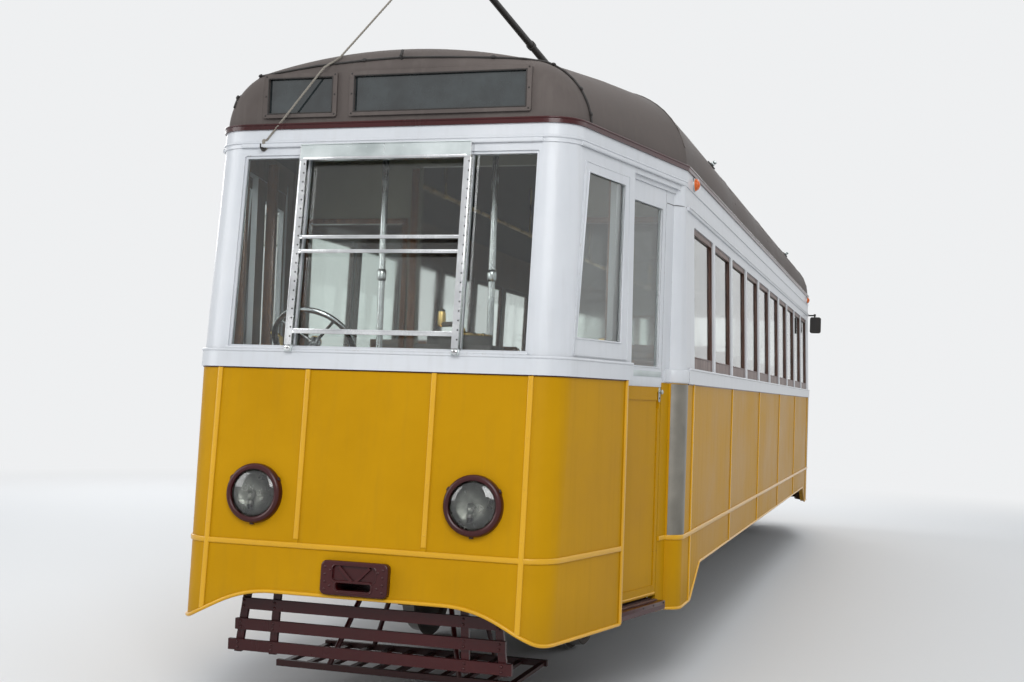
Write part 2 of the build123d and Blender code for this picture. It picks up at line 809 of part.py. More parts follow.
cross = box(bearer_x + 60, 600, 4600, 4660, 600, deck_low)
nose = box(bearer_x + 60, 660, 5420, 5500, 600, deck_low)
middle = box(-bearer_x, bearer_x, 4600, 4660, 600, deck_low)
bearers = [one for piece in (bearer, outer, cross, nose) for one in sides(piece)]
bearers.append(middle)
for piece in bearers:
    keep("platform_bearers", *ends(piece))


# Equipment between the bogies
grid = box(-420, 420, -620, -120, 380, 640)
for x in (-300, -180, -60, 60, 180, 300):
    grid -= box(x - 35, x + 35, -700, -60, 420, 600)
hanger = box(-400, -360, -560, -180, 630, 820) + box(360, 400, -560, -180, 630, 820)
tank = Pos(560, 500, 480) * Rot(90, 0, 0) * Cylinder(150, 900)
tank = fillet(tank.edges(), 40)
tank += box(500, 620, 200, 240, 480, 820) + box(500, 620, 760, 800, 480, 820)
pump = box(-760, -300, 250, 760, 420, 680)
pump = fillet(pump.edges().filter_by(Axis.Y), 50)
pump += box(-700, -360, 300, 340, 660, 820) + box(-700, -360, 660, 700, 660, 820)
keep("underfloor_gear", grid + hanger, tank, pump)

# Fender gates: slatted boards on uprights under each end
gate_y = 5530.0
board_rows = [(465.0, 618.0), (370.0, 650.0), (275.0, 682.0)]
gate = None
for z, half in board_rows:
    board = box(-half, half, gate_y - 10, gate_y + 10, z - 25, z + 25)
    gate = board if gate is None else gate + board
for x, low_x in ((598, 642), (450, 466)):
    for sign in (1, -1):
        bar = make_face(
            Polyline(
                (sign * (x - 18), 560),
                (sign * (x + 18), 560),
                (sign * (low_x + 18), 240),
                (sign * (low_x - 18), 240),
                close=True,
            )
        )
        bar = extrude(
            Plane(origin=(0, gate_y - 9, 0), x_dir=(1, 0, 0), z_dir=(0, -1, 0)) * bar, 18
        )
        gate += bar
for x in (598, 450):
    for one in sides(box(x - 16, x + 16, 5500, gate_y - 5, 520, 670)):
        gate += one
keep("fender_gates", *ends(gate))

# Lifeguard trays behind the gates
tray_bars = [box(-600, 600, y, y + 25, 120, 150) for y in (4620, 5180)]
for bar in tray_bars:
    keep("lifeguard_trays", *ends(bar))
for i in range(11):
    x = -575 + 115 * i
    keep("lifeguard_trays", *ends(box(x - 14, x + 14, 4645, 5180, 124, 140)))
for x in (-330, 330):
    for bar, low_y, high_y in ((tray_bars[0], 4632, 4632), (tray_bars[1], 5192, 5000)):
        link = rod((x, low_y, 140), (x * 0.55, high_y, 615), 13) - bar
        for piece in bearers:
            link -= piece
        keep("lifeguard_trays", *ends(link.solids().sort_by(SortBy.VOLUME)[-1]))

# Marker lamps and mirrors
marker = extrude(
    side_upper.offset(frieze_proud) * (Pos(3990, 2625 - waist_z) * Circle(34)), 32
)
marker = fillet(marker.edges().filter_by(lambda e: e.center().X > 1180), 14)
keep("marker_lamps", *corners(marker))
mirror_arm = rod((1150, 4215, 2470), (1240, 4190, 2470), 8)
mirror_arm += rod((1240, 4190, 2475), (1240, 4190, 2350), 8)
glass_case = Pos(1250, 4180, 2360) * box(-60, 60, -12, 12, -90, 90)
glass_case = fillet(glass_case.edges().filter_by(Axis.Y), 24)
mirror_piece = (mirror_arm + glass_case) - jamb_high
keep("mirrors", mirror_piece, mirror_piece.mirror(Plane.XZ).mirror(Plane.YZ))


# Bogies
def wheel(side):
    """A wheel turned about X, its flange at the inner face."""
    inner = gauge / 2 - 23
    profile = [
        (inner, axle_radius - 2),
        (inner - 18, 95),
        (inner - 2, 105),
        (inner + 14, 255),
        (inner, 278),
        (inner, 336),
        (inner + 8, flange_radius),
        (inner + 18, 338),
        (inner + 27, tread_radius + 2),
        (inner + 90, tread_radius - 5),
        (inner + 94, tread_radius - 10),
        (inner + 94, 280),
        (inner + 40, 262),
        (inner + 48, 110),
        (inner + 78, 98),
        (inner + 78, axle_radius - 2),
    ]
    face = make_face(Polyline(*[(side * x, r) for x, r in profile], close=True))
    return revolve(face, Axis.X)


axle = Rot(0, 90, 0) * Cylinder(axle_radius, 2 * 560)
axle += Rot(0, 90, 0) * Cylinder(journal_radius, 2 * 660)
wheelset = axle + wheel(1) + wheel(-1)
axle_ys = [
    ("wheelset_1", -bogie_centre_y - bogie_half_base),
    ("wheelset_2", -bogie_centre_y + bogie_half_base),
    ("wheelset_3", bogie_centre_y - bogie_half_base),
    ("wheelset_4", bogie_centre_y + bogie_half_base),
]
for name, y in axle_ys:
    keep(name, Pos(0, y, axle_z) * wheelset)

frame_x = 600.0
side_shape = make_face(
    Polyline(
        (-1115, 500),
        (-1085, 560),
        (-330, 560),
        (-240, 500),
        (240, 500),
        (330, 560),
        (1085, 560),
        (1115, 500),
        (900, 440),
        (850, 225),
        (600, 225),
        (560, 330),
        (-560, 330),
        (-600, 225),
        (-850, 225),
        (-900, 440),
        close=True,
    )
)
side_shape -= Pos(0, 415) * Rectangle(860, 70)
for y in (-bogie_half_base, bogie_half_base):
    side_shape -= Pos(y, 335) * Rectangle(176, 250)
side_frame = extrude(Plane(origin=(frame_x, 0, 0), x_dir=(0, 1, 0), z_dir=(1, 0, 0)) * side_shape, 40)
bogie = None
for one in sides(side_frame):
    bogie = one if bogie is None else bogie + one
for y in (-187.0, 187.0):
    bogie += box(-frame_x - 5, frame_x + 5, y - 35, y + 35, 440, 500)
beam = box(-700, 700, -120, 120, 508, 600)
beam += Pos(0, 0, 618.75) * Cylinder(200, 37.5)
beam -= Pos(0, 0, 560) * Cylinder(kingpin_radius + running_gap, 300)
box_piece = box(570, 690, -82, 82, 250, 450)
box_piece = fillet(box_piece.edges().filter_by(Axis.X), 24)
box_piece += Pos(700, 0, axle_z) * Rot(0, 90, 0) * Cylinder(72, 24)
box_piece -= Pos(580, 0, axle_z) * Rot(0, 90, 0) * Cylinder(journal_radius + running_gap, 180)


def coil(x, y, z0, z1, radius, wire):
    """A spring, drawn as its stacked turns."""
    count = int((z1 - z0) / (2.4 * wire))
    pitch = (z1 - z0) / count
    body = Pos(x, y, (z0 + z1) / 2) * Cylinder(radius - wire, z1 - z0)
    for i in range(count):
        body += Pos(x, y, z0 + pitch * (i + 0.5)) * Torus(radius - wire, wire)
    return body


bogie_extra = []
for y in (-bogie_half_base, bogie_half_base):
    for one in sides(Pos(0, y, 0) * box_piece):
        bogie_extra.append(one)
    bogie_extra += sides(box(612, 628, y - 130, y + 130, 205, 225))
springs = []
for y in (-75.0, 75.0):
    springs += sides(coil(668, y, 395, 508, 40, 11))
shelf = box(640, 720, -130, 130, 375, 395)
bogie_extra += sides(shelf)

motor_shape = RectangleRounded(400, 400, 90)
motor = extrude(
    Plane(origin=(-255, 0, 0), x_dir=(0, 1, 0), z_dir=(1, 0, 0))
    * (Pos(430, 345) * motor_shape),
    510,
)
motor -= Pos(0, bogie_half_base, axle_z) * Rot(0, 90, 0) * Cylinder(
    axle_radius + 10, 900
)
arm = box(-250, -170, 560, 840, 250, 440) + box(170, 250, 560, 840, 250, 440)
arm -= Pos(0, bogie_half_base, axle_z) * Rot(0, 90, 0) * Cylinder(
    axle_radius + running_gap, 900
)
motor += arm
motor += box(-150, 150, 170, 260, 380, 440)

shoe_ring = Rot(0, 90, 0) * Cylinder(362, 70) - Rot(0, 90, 0) * Cylinder(tread_radius + 9, 80)
shoe = shoe_ring & box(-50, 50, 260, 380, -120, 120)
shoe = Pos(488, bogie_half_base, axle_z) * shoe
hang = box(476, 500, bogie_half_base + 345, bogie_half_base + 375, 300, 520)
brake_set = []
brake_beam = box(-500, 500, bogie_half_base + 352, bogie_half_base + 382, 320, 360)
brake_piece = shoe + hang
brake_pair = sides(brake_piece)
brake_all = brake_beam + brake_pair[0] + brake_pair[1]
bracket = box(476, frame_x, bogie_half_base + 345, bogie_half_base + 375, 500, 540)
for piece in sides(bracket):
    brake_all += piece
for name, sign in (("front", -1), ("rear", 1)):
    place = Pos(0, sign * bogie_centre_y, 0)
    body = bogie
    for piece in bogie_extra:
        body = body + piece
    keep(f"bogie_frame_{name}", place * body)
    for piece in [beam] + springs:
        keep(f"bogie_frame_{name}", place * piece)
    for piece in ends(motor):
        keep(f"motors_{name}", place * piece)
    for piece in ends(brake_all):
        keep(f"brakes_{name}", place * piece)

# Roof walk and trolley
boards = None
crown_z = roof_base_z + roof_stations[0][2]
walk_z = crown_z + 48
for x in (-270.0, -90.0, 90.0, 270.0):
    board = box(x - 78, x + 78, -3300, 3300, walk_z, walk_z + 22)
    boards = board if boards is None else boards + board
for y in range(-3200, 3201, 800):
    boards += box(-350, 350, y - 30, y + 30, crown_z - 30, walk_z + 2)
boards -= roof_outer
plate = box(-300, 300, -330, 330, walk_z + 22, walk_z + 36)
keep("roof_walk", boards, plate)
base = Pos(0, 0, walk_z + 36 + running_gap) * Cylinder(
    170, 30, align=(Align.CENTER, Align.CENTER, Align.MIN)
)
base += Pos(0, 0, walk_z + 62) * Cylinder(
    70, 60, align=(Align.CENTER, Align.CENTER, Align.MIN)
)
for x in (-75.0, 75.0):
    cheek = box(x - 10, x + 10, -260, 260, walk_z + 60, walk_z + 110)
    cheek += box(x - 10, x + 10, -240, -120, walk_z + 60, pole_hinge_z + 35)
    base += cheek
for x in (-45.0, 45.0):
    base += Rot(0, 0, 0) * rod((x, 240, walk_z + 95), (x, -60, walk_z + 95), 22)
base += box(-80, 80, 225, 255, walk_z + 60, walk_z + 125)
base -= rod(
    (-120, pole_hinge_y, pole_hinge_z), (120, pole_hinge_y, pole_hinge_z), 10 + running_gap
)
keep("trolley_base", base)
reach = hypot(pole_tip_y - pole_hinge_y, pole_tip_z - pole_hinge_z)
pole_way = Vector(0, pole_tip_y - pole_hinge_y, pole_tip_z - pole_hinge_z).normalized()
pole_plane = Plane(origin=(0, pole_hinge_y, pole_hinge_z), z_dir=pole_way)
pole = Solid.make_cone(30, 17, reach, plane=pole_plane)
pole += rod((-58, pole_hinge_y, pole_hinge_z), (58, pole_hinge_y, pole_hinge_z), 36)
pole += rod((-100, pole_hinge_y, pole_hinge_z), (100, pole_hinge_y, pole_hinge_z), 10)
tip = Vector(0, pole_tip_y, pole_tip_z)
harp = Pos(0, pole_tip_y - 40, pole_tip_z + 40) * Rot(0, 90, 0) * Cylinder(58, 34)
pole += harp
pole += box(-24, 24, pole_tip_y - 60, pole_tip_y + 90, pole_tip_z - 22, pole_tip_z + 26)
keep("trolley_pole", pole)

os.makedirs("parts", exist_ok=True)
for name, solids in nodes.items():
    shape = solids[0] if len(solids) == 1 else Compound(solids)
    export_step(shape, f"parts/{name}.step")
    print(name, len(solids), round(sum(s.volume for s in solids) / 1e6, 2))
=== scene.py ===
# %% [markdown]
# A double-ended tram on two bogies, dressed over its measured solids.
# The solids already hold every panel, door, wheel and bench at its real place. This file
# gives them their paint, wood, glass and metal, and adds what is too small or too soft
# in line for solids: beads, rivets, lamp bulbs, bench slats, pipes and the pole's rope.
# Everything is in metres. The car runs along Y, its near end looks toward -Y, and the
# lowest point of the wheels is at z = 0.

# %% Load the frame
import bpy
import bmesh
import json
from math import atan2, cos, pi, radians, sin, sqrt, tan
from mathutils import Matrix, Vector
from mathutils.bvhtree import BVHTree

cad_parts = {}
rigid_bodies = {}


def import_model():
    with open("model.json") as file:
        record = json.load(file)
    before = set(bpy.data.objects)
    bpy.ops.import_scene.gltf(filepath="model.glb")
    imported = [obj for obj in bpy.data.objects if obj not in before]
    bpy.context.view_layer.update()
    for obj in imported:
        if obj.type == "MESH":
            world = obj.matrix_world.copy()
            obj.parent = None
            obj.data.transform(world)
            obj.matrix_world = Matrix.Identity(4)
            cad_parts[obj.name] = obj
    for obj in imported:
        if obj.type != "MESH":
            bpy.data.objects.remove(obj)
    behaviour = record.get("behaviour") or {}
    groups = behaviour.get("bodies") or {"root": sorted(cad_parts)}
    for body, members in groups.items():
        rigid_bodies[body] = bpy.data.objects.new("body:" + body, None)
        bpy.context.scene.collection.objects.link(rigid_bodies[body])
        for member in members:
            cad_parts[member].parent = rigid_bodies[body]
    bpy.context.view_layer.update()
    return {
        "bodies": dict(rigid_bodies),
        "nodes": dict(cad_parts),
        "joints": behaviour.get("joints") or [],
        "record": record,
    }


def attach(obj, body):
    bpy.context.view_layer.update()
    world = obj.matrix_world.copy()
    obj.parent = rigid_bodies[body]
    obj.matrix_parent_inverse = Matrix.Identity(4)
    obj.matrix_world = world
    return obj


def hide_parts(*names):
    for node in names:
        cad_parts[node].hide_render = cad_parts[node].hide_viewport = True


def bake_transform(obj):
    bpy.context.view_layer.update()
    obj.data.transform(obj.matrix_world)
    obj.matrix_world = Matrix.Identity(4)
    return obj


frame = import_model()
scene = bpy.context.scene

# %% [markdown]
# The body's outline is the ruler for all trim. Sides run straight, then turn in at
# 13 degrees to a flat end with rounded corners. Above the waist the sides lean in a
# little and the ends lean back more; below the waist the ends lean forward. One short
# function gives the outline at any height, so that beads and bands can follow it.

# %% Outline of the body
HALF_WIDTH, TURN_Y, END_Y, TIP_X = 1.190, 4.200, 5.600, 0.867
CORNER, WAIST = 0.155, 1.550
SIDE_LEAN, UPPER_LEAN, LOWER_LEAN = 0.032, 0.100, 0.079
TAPER = atan2(HALF_WIDTH - TIP_X, END_Y - TURN_Y)
ALONG = Vector((-sin(TAPER), cos(TAPER), 0))
OUT = Vector((cos(TAPER), sin(TAPER), 0))


def flank(s, n=0.0, z=0.0):
    """A point s along the +X +Y flank from the side's turn, n outward, at height z."""
    return Vector((HALF_WIDTH, TURN_Y, z)) + ALONG * s + OUT * n


def end_face(x, z, n=0.0):
    """A point on the +Y end face, n in front of it."""
    lean = UPPER_LEAN if z > WAIST else LOWER_LEAN
    way = Vector((0, 1, lean)).normalized()
    return Vector((x, END_Y - lean * (z - WAIST), z)) + way * n


def corner_arc(z, proud, count=9):
    """Points round the +X +Y corner of the outline at height z."""
    up = z - WAIST
    lean = SIDE_LEAN * up if up > 0 else 0.0
    end_lean = UPPER_LEAN if up > 0 else LOWER_LEAN
    move = lean - proud
    reach = OUT.x * HALF_WIDTH + OUT.y * TURN_Y - move
    front = END_Y - end_lean * up + proud
    tip = (reach - OUT.y * front) / OUT.x
    radius = CORNER + proud
    cut = radius * tan((pi / 2 - TAPER) / 2)
    centre = Vector((tip - cut, front - radius, z))
    points = []
    for i in range(count):
        a = TAPER + (pi / 2 - TAPER) * i / (count - 1)
        points.append(centre + radius * Vector((cos(a), sin(a), 0)))
    return points


def side_x(z, proud=0.0):
    return HALF_WIDTH - (SIDE_LEAN * (z - WAIST) if z > WAIST else 0.0) + proud


print("taper", round(TAPER * 180 / pi, 2), "degrees")

# %% [markdown]
# The camera stands where the photographer stood: low, ahead of the near end and out to
# its right. Its place and turn were solved once from the straight edges of the car.

# %% Camera
right = Vector((0.95708, 0.28782, 0.03399))
up_way = Vector((-0.02082, -0.04871, 0.99860))
back = -Vector((-0.28907, 0.95644, 0.04062))
camera_data = bpy.data.cameras.new("view_of_near_end")
camera = bpy.data.objects.new("view_of_near_end", camera_data)
scene.collection.objects.link(camera)
camera_data.sensor_width = 36.0
camera_data.lens = 46.75
camera_data.clip_end = 200.0
camera.matrix_world = Matrix.Translation((2.3106, -11.0878, 1.461)) @ Matrix(
    (
        (right.x, up_way.x, back.x, 0),
        (right.y, up_way.y, back.y, 0),
        (right.z, up_way.z, back.z, 0),
        (0, 0, 0, 1),
    )
)
scene.camera = camera
print("camera lens", camera_data.lens)

# %% [markdown]
# Shader helpers. A material is a small graph, and these short functions keep the rest
# readable. They make a node with its settings, a group with named sockets, a sum, a mix
# of two colours and a remapped value. Groups put out only colours, masks and heights;
# each material keeps its own shader.

# %% Node helpers


def add(tree, kind, **settings):
    """A shader node; settings whose names are sockets set them, the rest are options."""
    node = tree.nodes.new("ShaderNode" + kind)
    for key, value in settings.items():
        name = key.replace("_", " ")
        if hasattr(node, key):
            setattr(node, key, value)
        elif name in node.inputs:
            node.inputs[name].default_value = value
        else:
            raise KeyError(f"{kind} has no {key}")
    return node


def join(tree, *pairs):
    for a, b in pairs:
        tree.links.new(a, b)


def group(name, inputs, outputs):
    """A node group with float inputs {name: value} and outputs {name: kind}."""
    tree = bpy.data.node_groups.new(name, "ShaderNodeTree")
    for key, value in inputs.items():
        socket = tree.interface.new_socket(key, in_out="INPUT", socket_type="NodeSocketFloat")
        socket.default_value = value
    for key, kind in outputs.items():
        tree.interface.new_socket(key, in_out="OUTPUT", socket_type="NodeSocket" + kind)
    return tree, tree.nodes.new("NodeGroupInput"), tree.nodes.new("NodeGroupOutput")


def math_node(tree, operation, a, b=None, clamp=False):
    node = tree.nodes.new("ShaderNodeMath")
    node.operation = operation
    node.use_clamp = clamp
    for socket, value in zip(node.inputs, (a, b)):
        if value is None:
            continue
        if isinstance(value, (int, float)):
            socket.default_value = value
        else:
            tree.links.new(value, socket)
    return node.outputs[0]


def blend_colour(tree, factor, a, b, mode="MIX"):
    node = tree.nodes.new("ShaderNodeMix")
    node.data_type = "RGBA"
    node.blend_type = mode
    sockets = (node.inputs[0], node.inputs[6], node.inputs[7])
    for socket, value in zip(sockets, (factor, a, b)):
        if isinstance(value, (int, float)):
            socket.default_value = value
        elif isinstance(value, tuple):
            socket.default_value = (*value, 1.0)[:4]
        else:
            tree.links.new(value, socket)
    return node.outputs[2]


def span(tree, value, low, high, to_low=0.0, to_high=1.0):
    """Maps a value from one range to another, clamped."""
    node = add(tree, "MapRange", From_Min=low, From_Max=high, To_Min=to_low, To_Max=to_high)
    tree.links.new(value, node.inputs["Value"])
    return node.outputs["Result"]


# %% [markdown]
# Studio light. A broad soft lamp stands to the right of the near end, where the hall is
# brighter, with a weaker one on the left and one overhead. Three more keep the long
# right side, the far end and the far side readable when the car is seen from there.

# %% Lamps
scene.view_settings.view_transform = "Standard"


def lamp(name, place, aim, size, power):
    data = bpy.data.lights.new(name, "AREA")
    data.shape = "RECTANGLE"
    data.size, data.size_y = size
    data.energy = power
    thing = bpy.data.objects.new(name, data)
    scene.collection.objects.link(thing)
    way = Vector(aim) - Vector(place)
    thing.matrix_world = (
        Matrix.Translation(place) @ way.to_track_quat("-Z", "Y").to_matrix().to_4x4()
    )
    return thing


LAMPS = [
    # name, place, aim, size, power
    ("key_front", (3.2, -13.0, 6.5), (0.2, -4.5, 1.5), (5.0, 5.0), 560.0),
    ("fill_left", (-9.0, -10.0, 5.0), (0.0, -3.0, 1.5), (6.0, 5.0), 360.0),
    ("overhead", (0.0, 0.0, 9.5), (0.0, 0.0, 0.0), (9.0, 14.0), 430.0),
    ("right_side", (10.0, 0.0, 6.0), (0.0, 0.0, 1.5), (8.0, 5.0), 140.0),
    ("far_end", (-1.5, 13.0, 6.0), (0.0, 4.0, 1.5), (6.0, 5.0), 380.0),
    ("far_side", (-10.0, 6.0, 6.0), (0.0, 2.0, 1.5), (6.0, 5.0), 360.0),
]
for row in LAMPS:
    lamp(*row)

print("lamps", len(LAMPS))

# %% [markdown]
# The world gives a low even fill. What the camera, metal and glass see behind the car is
# a pale backdrop, chosen with Light Path, so paleness never comes from more light on the
# car. Far out the floor fades into the same tone, so no dark edge shows behind the car.

# %% World and floor
BACKDROP = (0.86, 0.87, 0.88, 1)  # what is seen behind the car
SOFT_FILL = (0.90, 0.95, 1.0, 1)  # what lights it from all round
FILL_POWER = 0.42
FLOOR_TONE = (0.70, 0.71, 0.72, 1)
FLOOR_REACH, FADE_FROM, FADE_TO = 60.0, 7.0, 14.0


def sees_backdrop(tree):
    """1 for what the camera, metal and glass see, 0 for what lights the car."""
    path = add(tree, "LightPath")
    clear = path.outputs["Is Camera Ray"]
    for kind in ("Is Glossy Ray", "Is Transmission Ray"):
        clear = math_node(tree, "MAXIMUM", clear, path.outputs[kind])
    return clear


def mixed(tree, factor, first, second):
    """The first shader where the factor is 0, the second where it is 1."""
    mix = add(tree, "MixShader")
    join(tree, *zip((factor, first.outputs[0], second.outputs[0]), mix.inputs))
    return mix.outputs[0]


world = bpy.data.worlds.new("pale_room")
scene.world = world
world.use_nodes = True
tree = world.node_tree
tree.nodes.clear()
fill = add(tree, "Background", Color=SOFT_FILL, Strength=FILL_POWER)
seen = add(tree, "Background", Color=BACKDROP, Strength=1.0)
join(tree, (mixed(tree, sees_backdrop(tree), fill, seen), add(tree, "OutputWorld").inputs[0]))

floor_mesh = bpy.data.meshes.new("studio_floor")
corners = [(x * FLOOR_REACH, y * FLOOR_REACH, 0) for x, y in ((-1, -1), (1, -1), (1, 1), (-1, 1))]
floor_mesh.from_pydata(corners, [], [(0, 1, 2, 3)])
studio_floor = bpy.data.objects.new("studio_floor", floor_mesh)
scene.collection.objects.link(studio_floor)
floor_material = bpy.data.materials.new("pale_floor")
floor_material.use_nodes = True
tree = floor_material.node_tree
shade = tree.nodes["Principled BSDF"]
shade.inputs["Base Color"].default_value = FLOOR_TONE
shade.inputs["Roughness"].default_value = 0.75
far = add(tree, "VectorMath", operation="LENGTH")
join(tree, (add(tree, "NewGeometry").outputs["Position"], far.inputs[0]))
fade = add(tree, "MapRange", interpolation_type="SMOOTHSTEP", From_Min=FADE_FROM,
           From_Max=FADE_TO)
join(tree, (far.outputs["Value"], fade.inputs["Value"]))
only = math_node(tree, "MULTIPLY", fade.outputs["Result"], sees_backdrop(tree))
glow = add(tree, "Emission", Color=BACKDROP)
join(tree, (mixed(tree, only, shade, glow), tree.nodes["Material Output"].inputs["Surface"]))
floor_mesh.materials.append(floor_material)
print("floor reaches", FLOOR_REACH, "m")

# %% [markdown]
# Effects that many finishes share are groups. The first is old brush paint. It has slow
# tone changes, a faint orange peel, rain streaks that run down, and dust that gathers low
# on the car. Edges that hands, boots and brushes meet lose some paint: the Bevel node
# rounds the normal near an edge, and where that differs from the true normal there is an
# edge.

# %% Shared effect: aged paint
aged, i, o = group(
    "aged_paint",
    {"Tone Scale": 1.4, "Peel Scale": 220.0, "Streaks": 0.5, "Dust Top": 0.75, "Edge Size": 0.006},
    {"Tone": "Float", "Dirt": "Float", "Chips": "Float", "Height": "Float"},
)
where = add(aged, "TexCoord").outputs["Object"]
broad = add(aged, "TexNoise", Detail=5.0, Roughness=0.6)
join(aged, (where, broad.inputs["Vector"]), (i.outputs["Tone Scale"], broad.inputs["Scale"]))
peel = add(aged, "TexNoise", Detail=2.0)
join(aged, (where, peel.inputs["Vector"]), (i.outputs["Peel Scale"], peel.inputs["Scale"]))
stretch = add(aged, "Mapping")
stretch.inputs["Scale"].default_value = (26.0, 26.0, 1.3)
join(aged, (where, stretch.inputs["Vector"]))
runs = add(aged, "TexNoise", Scale=1.0, Detail=6.0, Roughness=0.55)
join(aged, (stretch.outputs[0], runs.inputs["Vector"]))
streak = math_node(aged, "MULTIPLY", span(aged, runs.outputs[0], 0.50, 0.72), i.outputs["Streaks"])
axes = add(aged, "SeparateXYZ")
join(aged, (where, axes.inputs[0]))
low = add(aged, "MapRange")
join(aged, (axes.outputs["Z"], low.inputs["Value"]),
     (i.outputs["Dust Top"], low.inputs["From Min"]))
low.inputs["From Max"].default_value = 0.15
dusty = math_node(aged, "MULTIPLY", low.outputs[0], span(aged, broad.outputs[0], 0.3, 0.75))
dirt = math_node(aged, "ADD", math_node(aged, "MULTIPLY", streak, 0.35), dusty, clamp=True)
soft = add(aged, "Bevel", samples=3)
join(aged, (i.outputs["Edge Size"], soft.inputs["Radius"]))
true = add(aged, "NewGeometry")
dot = add(aged, "VectorMath", operation="DOT_PRODUCT")
join(aged, (soft.outputs[0], dot.inputs[0]), (true.outputs["Normal"], dot.inputs[1]))
edge = span(aged, math_node(aged, "SUBTRACT", 1.0, dot.outputs["Value"]), 0.06, 0.30)
nicks = add(aged, "TexNoise", Scale=60.0, Detail=4.0, Roughness=0.7)
join(aged, (where, nicks.inputs["Vector"]))
chips = math_node(aged, "MULTIPLY", edge, span(aged, nicks.outputs[0], 0.56, 0.66))
join(
    aged,
    (broad.outputs[0], o.inputs["Tone"]),
    (dirt, o.inputs["Dirt"]),
    (chips, o.inputs["Chips"]),
    (peel.outputs[0], o.inputs["Height"]),
)

# %% [markdown]
# The walls are painted outside and boarded inside, though each panel is one solid. This
# mask finds the inner faces: it takes the nearest of side, flank and end, and compares
# the face's direction with the outward direction there.

# %% Shared effect: inner faces of the walls
lining, i, o = group("inner_faces", {"Start": -0.55, "Full": -0.80}, {"Mask": "Float"})
where = add(lining, "TexCoord").outputs["Object"]
axes = add(lining, "SeparateXYZ")
join(lining, (where, axes.inputs[0]))
faces_way = add(lining, "SeparateXYZ")
join(lining, (add(lining, "NewGeometry").outputs["True Normal"], faces_way.inputs[0]))
wide = math_node(lining, "ABSOLUTE", axes.outputs["X"])
deep = math_node(lining, "ABSOLUTE", axes.outputs["Y"])
way_x = math_node(lining, "MULTIPLY", faces_way.outputs["X"],
                  math_node(lining, "SIGN", axes.outputs["X"]))
way_y = math_node(lining, "MULTIPLY", faces_way.outputs["Y"],
                  math_node(lining, "SIGN", axes.outputs["Y"]))
to_side = math_node(lining, "SUBTRACT", wide, HALF_WIDTH)
to_flank = math_node(
    lining, "SUBTRACT",
    math_node(lining, "ADD", math_node(lining, "MULTIPLY", wide, OUT.x),
              math_node(lining, "MULTIPLY", deep, OUT.y)),
    HALF_WIDTH * OUT.x + TURN_Y * OUT.y,
)
to_end = math_node(lining, "SUBTRACT", deep, END_Y)
flank_way = math_node(lining, "ADD", math_node(lining, "MULTIPLY", way_x, OUT.x),
                      math_node(lining, "MULTIPLY", way_y, OUT.y))
is_flank = math_node(lining, "GREATER_THAN", to_flank, to_side)
side_or_flank = span(lining, is_flank, 0.0, 1.0)
pick = add(lining, "Mix")
join(lining, (side_or_flank, pick.inputs[0]), (way_x, pick.inputs[2]), (flank_way, pick.inputs[3]))
is_end = math_node(lining, "GREATER_THAN", to_end,
                   math_node(lining, "MAXIMUM", to_side, to_flank))
pick_end = add(lining, "Mix")
join(lining, (is_end, pick_end.inputs[0]), (pick.outputs[0], pick_end.inputs[2]),
     (way_y, pick_end.inputs[3]))
inner = add(lining, "MapRange")
join(lining, (pick_end.outputs[0], inner.inputs["Value"]),
     (i.outputs["Start"], inner.inputs["From Min"]), (i.outputs["Full"], inner.inputs["From Max"]),
     (inner.outputs["Result"], o.inputs["Mask"]))

# %% [markdown]
# Wood has long grain with pores. Grain is noise that is pulled long in one direction. The
# three scales come in as named inputs, so each wood says along which axis its boards run.

# %% Shared effect: wood grain


def stretched(tree, i, where):
    """Object coordinates, scaled along each axis by the group's own inputs."""
    sizes = add(tree, "CombineXYZ")
    join(tree, *((i.outputs["Along " + axis], sizes.inputs[axis]) for axis in "XYZ"))
    stretch = add(tree, "Mapping")
    join(tree, (where, stretch.inputs["Vector"]), (sizes.outputs[0], stretch.inputs["Scale"]))
    return stretch.outputs[0]


grain, i, o = group(
    "wood_grain",
    {"Along X": 1.0, "Along Y": 12.0, "Along Z": 12.0, "Ring Scale": 3.0},
    {"Grain": "Float", "Pores": "Float"},
)
fibres = stretched(grain, i, add(grain, "TexCoord").outputs["Object"])
bands = add(grain, "TexNoise", Detail=7.0, Roughness=0.62, Distortion=0.6)
fine = add(grain, "TexNoise", Scale=34.0, Detail=3.0)
join(
    grain,
    (fibres, bands.inputs["Vector"]),
    (i.outputs["Ring Scale"], bands.inputs["Scale"]),
    (fibres, fine.inputs["Vector"]),
    (span(grain, bands.outputs[0], 0.32, 0.68), o.inputs["Grain"]),
    (span(grain, fine.outputs[0], 0.40, 0.62), o.inputs["Pores"]),
)
print("wood grain", len(grain.nodes), "nodes")

# %% [markdown]
# Brushed and worn metal has fine scratches. They are pulled long in the same way, only
# finer, and a second noise gives the smudges of hands and oil.

# %% Shared effect: scratched metal
scratch, i, o = group(
    "scratched_metal",
    {"Along X": 4.0, "Along Y": 120.0, "Along Z": 120.0},
    {"Lines": "Float", "Smudge": "Float"},
)
where = add(scratch, "TexCoord").outputs["Object"]
lines = add(scratch, "TexNoise", Scale=3.0, Detail=8.0, Roughness=0.7)
smudge = add(scratch, "TexNoise", Scale=5.0, Detail=5.0)
join(
    scratch,
    (stretched(scratch, i, where), lines.inputs["Vector"]),
    (where, smudge.inputs["Vector"]),
    (lines.outputs[0], o.inputs["Lines"]),
    (smudge.outputs[0], o.inputs["Smudge"]),
)
print("groups", [g.name for g in bpy.data.node_groups])
